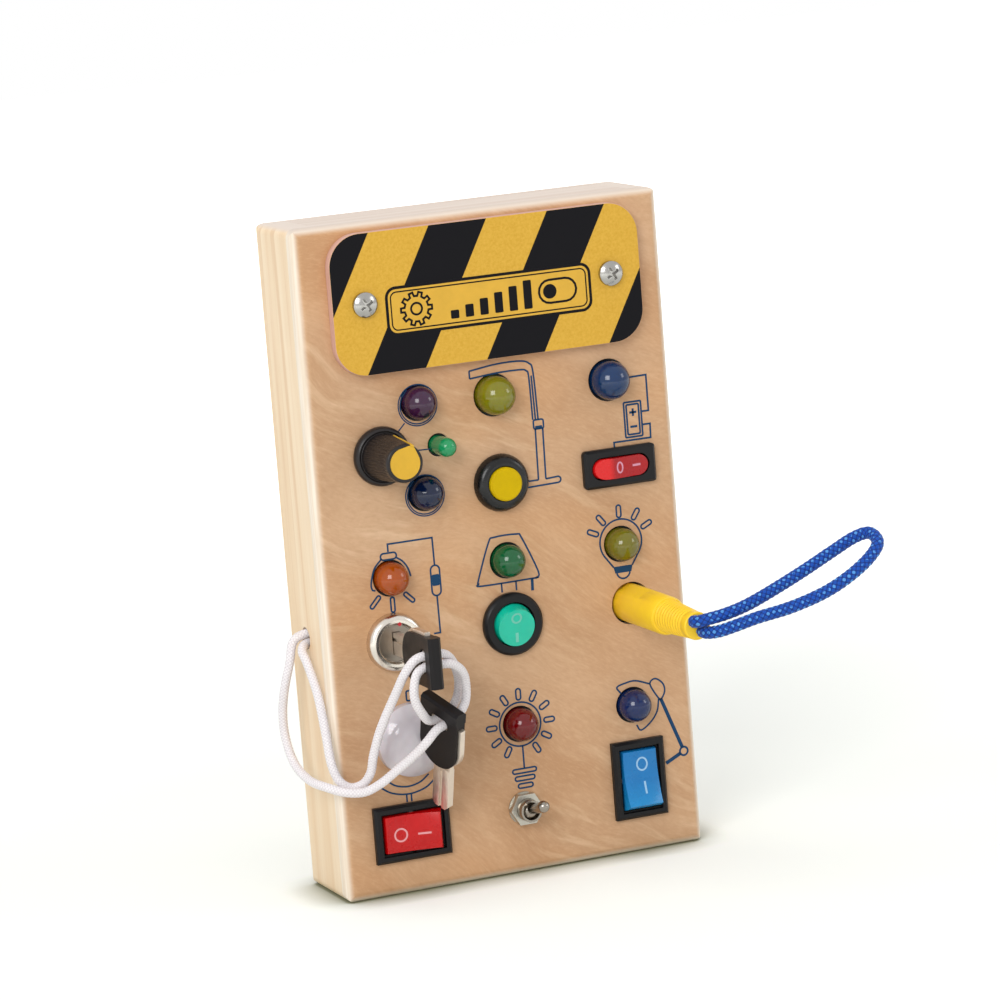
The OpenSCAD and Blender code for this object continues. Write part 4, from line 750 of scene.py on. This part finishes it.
def plate_sign():
    """A double frame, a gear, six rising bars and a slide switch."""
    left = LABEL_X - LABEL_W / 2
    right = LABEL_X + LABEL_W / 2
    gear_x = left + 8.2
    foot = LABEL_Z - 3.8
    bm = bmesh.new()
    for outline, width in ((label_outline(0.2, 2.5), 0.75), (label_outline(1.3, 1.6), 0.35),
                           (gear_outline(gear_x, LABEL_Z, 3.3, 4.3, 10), 0.55),
                           (circle(gear_x, LABEL_Z, 1.5, 24), 0.55),
                           (capsule(right - 9.4, LABEL_Z, 10.5, 6.0, 0), 0.6)):
        stroke(bm, outline, width, plate_face, SIGN_INK, closed=True)
    for k in range(6):
        x = left + 17.5 + 4.1 * k
        prism(bm, rounded(x, foot, x + 2.3, foot + 2.2 + 1.05 * k, 0.3, 3), plate_face, SIGN_INK)
    prism(bm, circle(right - 11.6, LABEL_Z, 1.9, 28), plate_face, SIGN_INK)
    piece("plate_sign", bm, M_BLACK_PRINT, "board")


plate_stripes()
plate_label()
plate_sign()


# ---------- marks on the rocker switches ----------
MARK_INK = (-0.05, 0.03)


def seat(at, spin, tilt):
    """A paddle's own frame: x along it, y across it, z out of the board."""
    return (Matrix.Translation((at[0], FACE_Y, at[1])) @ Matrix.Rotation(math.radians(90), 4, "X")
            @ Matrix.Rotation(math.radians(spin), 4, "Z") @ Matrix.Rotation(math.radians(tilt), 4, "Y"))


def dished(r, mid, rise):
    """Height of a paddle's hollow face at x, for end radius r."""
    c = (r * r + rise * rise) / (2 * rise)
    return lambda x: mid + c - math.sqrt(c * c - x * x)


def sloped(start, end_x, slope):
    """Height of a flat face at x, which rises by a slope in degrees from its end."""
    return lambda x: start + (x - end_x) * math.tan(math.radians(slope))


BIG_FACE = dished(8.0, 2.4, 1.2)
ROUND_FACE = dished(5.6, 3.4, 0.6)
MINI_FACE = sloped(3.0, -3.1, 2.4)


def marks(name, body, matrix, face, color, ring, bar):
    """ring is x, y, two radii and line width; bar is x, y, length along the paddle and line width."""
    def place(x, y, h):
        return (matrix @ Vector((x, y, face(x) + h))) * MM
    bm = bmesh.new()
    x, y, rx, ry, width = ring
    stroke(bm, circle(x, y, rx, 32, ry), width, place, MARK_INK, closed=True)
    x, y, length, width = bar
    stroke(bm, [(x + length * t / 8, y) for t in range(-4, 5)], width, place, MARK_INK)
    piece(name, bm, plastic(name, color, 0.45), body)


marks("marks_red", "red_rocker", seat(RED_AT, 0, -10), BIG_FACE, (222, 156, 160),
      (-3.3, -0.3, 1.65, 1.65, 0.45), (3.0, -0.55, 3.5, 0.5))
marks("marks_blue", "blue_rocker", seat(BLUE_AT, 90, 10), BIG_FACE, (150, 190, 222),
      (3.7, -0.5, 1.65, 1.45, 0.45), (-2.6, -0.7, 3.3, 0.55))
marks("marks_round", "round_rocker", seat(ROUND_AT, 90, -10), ROUND_FACE, (112, 196, 176),
      (2.6, 0.1, 1.25, 1.25, 0.5), (-2.7, 0, 2.5, 0.8))
marks("marks_mini", "mini_rocker", seat(MINI_AT, 0, 10), MINI_FACE, (208, 146, 168),
      (-1.4, 0.1, 0.8, 1.35, 0.42), (3.7, 0.1, 2.4, 0.55))


# ---------- the lock's red dot ----------
DOT_AT = (-31.5, 71.95)
DOT_R = 0.5
DOT_INK = (-0.3, 0.04)
LOCK_RING_OUT = 2.8     # how far the lock's ring stands out of the board


def lock_dot():
    bm = bmesh.new()
    prism(bm, circle(*DOT_AT, DOT_R, 20), on_face(FACE_Y - LOCK_RING_OUT), DOT_INK)
    piece("lock_dot", bm, M_RED_DOT, "board")


lock_dot()


# ---------- knob ----------
KNOB = (-31.9, 115.7)
SKIRT_R = 7.75
LOW_R = 6.0
TOP_R = 4.95
KNOB_OUT = 17.4         # height of the knob's top above the board
BODY_Z = 3.6
UNDER = 0.7             # gap between the skirt and the board
TOP_ROUND = 0.45
FLUTES = 36
FLUTE_DEPTH = 0.32
FLUTE_SHARP = 0.8       # below 1 the flutes are broader than the ribs between them
FLUTE_SIDES = 8


def knob_profile():
    """Radius, height and depth of the flutes, from the skirt's foot to the middle of the top."""
    pts = [(3.0, UNDER, 0), (SKIRT_R - 0.2, UNDER, 0), (SKIRT_R, UNDER + 0.3, 0), (SKIRT_R - 0.05, 1.8, 0),
           (SKIRT_R - 0.25, 2.4, 0), (SKIRT_R - 0.75, 2.95, 0), (SKIRT_R - 0.9, 3.0, 0),
           (LOW_R + 0.7, 3.0, 0), (LOW_R + 0.58, 2.95, 0), (LOW_R + 0.4, 2.62, 0), (LOW_R + 0.1, 2.62, 0),
           (LOW_R + 0.02, 3.2, 0)]
    for i in range(15):
        t = i / 14
        deep = min(1, t / 0.08, (1 - t) / 0.06)
        pts.append((LOW_R + (TOP_R + 0.12 - LOW_R) * t, BODY_Z + 0.2 + (KNOB_OUT - 1.6 - BODY_Z) * t,
                    max(0, deep)))
    for i in range(7):
        pts.append(polar(TOP_R - TOP_ROUND, KNOB_OUT - TOP_ROUND, TOP_ROUND, 15 * i) + (0,))
    return pts + [(TOP_R - 1.2, KNOB_OUT, 0), (0.8, KNOB_OUT, 0)]


def fluted_knob():
    bm = bmesh.new()
    place = on_face(FACE_Y)
    around = FLUTES * FLUTE_SIDES
    rings = []
    for r, z, deep in knob_profile():
        ring = []
        for k in range(around):
            a = 2 * math.pi * k / around
            flute = (0.5 - 0.5 * math.cos(FLUTES * a)) ** FLUTE_SHARP
            out = r - FLUTE_DEPTH * deep * flute
            ring.append(bm.verts.new(place(KNOB[0] + out * math.cos(a), KNOB[1] + out * math.sin(a), z)))
        rings.append(ring)
    skin(bm, rings)
    bm.faces.new(rings[0])
    bm.faces.new(rings[-1])
    return piece("fluted_knob", bm, M_KNOB, "knob", True)


knob = fluted_knob()
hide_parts("knob")


# ---------- softened edges on the hard parts ----------
SOFT_EDGES = {          # bevel width in mm
    0.18: ["red_case", "blue_case", "mini_case", "round_case", "button_housing", "jack_socket",
           "plug_shell", "red_paddle", "blue_paddle", "mini_paddle", "round_paddle", "button_cap",
           "key_grip", "spare_grip", "striped_plate", "battery_door", "battery_box"],
    0.1: ["plate_screws", "back_screws", "door_screw", "panel_nuts", "toggle_case", "toggle_lever",
          "lock_barrel", "lock_core", "key_blade", "spare_blade", "knob_pointer"],
}
SAME_POINT = 0.000002   # metres
FLAT_ANGLE = math.radians(1)
EDGE_ANGLE = math.radians(35)


def soften(obj, width):
    """Joins flat facets and rounds the sharp edges between them."""
    weld = obj.modifiers.new("weld", "WELD")
    weld.merge_threshold = SAME_POINT
    flat = obj.modifiers.new("flat", "DECIMATE")
    flat.decimate_type = "DISSOLVE"
    flat.angle_limit = FLAT_ANGLE
    bevel = obj.modifiers.new("bevel", "BEVEL")
    bevel.width = width * MM
    bevel.segments = 2
    bevel.limit_method = "ANGLE"
    bevel.angle_limit = EDGE_ANGLE
    bevel.harden_normals = True


for width, names in SOFT_EDGES.items():
    for name in names:
        soften(nodes[name], width)


# ---------- studio ----------
AMBIENT = 0.55          # strength of the light from all sides
CONTACT = 0.012         # metres over which a painted contact shadow darkens the floor towards the object
FLOOR_GLOW = 0.17       # lifts the floor to white beside the object and keeps its shadow
FLOOR_GLOW_FAR = 0.8
FLOOR_NEAR = 0.15       # metres from the middle between which the glow grows
FLOOR_FAR = 0.9
FLOOR_HALF = 3
PURE_WHITE = (1.0, 1.0, 1.0, 1.0)
LIT_FLOOR = (0.86, 0.88, 0.84, 1.0)
# Painted shadow colour of the floor where it meets the object.
PAINTED_CONTACT_SHADOW = (0.3, 0.3, 0.2, 1.0)
LIGHT_AIM = Vector((0, 0, 0.09))


def seen_directly(tree):
    """1 where a surface is looked at straight, in a reflection or through glass, and 0 where it lights."""
    path = tree.node("LightPath").outputs
    seen = tree.math("MAXIMUM", path["Is Camera Ray"], path["Is Glossy Ray"])
    return tree.math("MAXIMUM", seen, path["Is Transmission Ray"])


def studio_world():
    """An even white light; where the surroundings are seen, they are plain white."""
    world = bpy.data.worlds.new("studio")
    world.use_nodes = True
    scene.world = world
    made = world.node_tree.nodes
    tree = Tree(world.node_tree)
    tree.put(made["Background"].inputs["Color"], PURE_WHITE)
    tree.put(made["Background"].inputs["Strength"], AMBIENT)
    backdrop = tree.node("Background", {"Color": PURE_WHITE, "Strength": 1.0})
    blend = tree.node("MixShader", {0: seen_directly(tree), 1: made["Background"].outputs[0],
                                    2: backdrop.outputs[0]})
    tree.put(made["World Output"].inputs[0], blend.outputs[0])


def floor_white():
    """White paper that glows a little where it is seen, with a painted contact shadow that darkens it close
    to the object.
    """
    s = Shade("floor_white", rough=0.9, spec=0.0)
    place = s.node("NewGeometry").outputs["Position"]
    away = s.node("VectorMath", {0: place}, operation="LENGTH").outputs["Value"]
    lift = s.span(away, FLOOR_NEAR, FLOOR_FAR, FLOOR_GLOW, FLOOR_GLOW_FAR)
    open_sky = s.node("AmbientOcclusion", {"Distance": CONTACT}).outputs["AO"]
    lit = s.span(open_sky, 0.35, 0.95)
    # Painted shadow: the floor's colour darkens where the object closes off its sky.
    s.paint(s.mix(lit, PAINTED_CONTACT_SHADOW, LIT_FLOOR))
    s.put(s.shader.inputs["Emission Color"], PURE_WHITE)
    glow = s.math("MULTIPLY", seen_directly(s), s.math("MULTIPLY", lit, lift))
    s.put(s.shader.inputs["Emission Strength"], glow)
    return s.material


def add_floor():
    bm = bmesh.new()
    bmesh.ops.create_grid(bm, x_segments=1, y_segments=1, size=FLOOR_HALF)
    mesh = bpy.data.meshes.new("floor")
    bm.to_mesh(mesh)
    bm.free()
    mesh.materials.append(floor_white())
    floor = bpy.data.objects.new("floor", mesh)
    scene.collection.objects.link(floor)


def area(name, at, size, power, mirrored=True):
    """A soft square light that looks at the middle of the board; glossy surfaces mirror it or don't."""
    data = bpy.data.lights.new(name, "AREA")
    data.shape = "SQUARE"
    data.size = size
    data.energy = power
    obj = bpy.data.objects.new(name, data)
    obj.location = at
    obj.visible_glossy = mirrored
    obj.rotation_mode = "QUATERNION"
    obj.rotation_quaternion = (LIGHT_AIM - Vector(at)).to_track_quat("-Z", "Y")
    scene.collection.objects.link(obj)


studio_world()
add_floor()
area("key", (-1.6, -1.8, 1.26), 1.15, 32.5)
area("fill", (2.09, -1.21, 0.99), 0.75, 6.3)
area("top", (-0.15, -0.22, 1.9), 1.2, 9.8, mirrored=False)
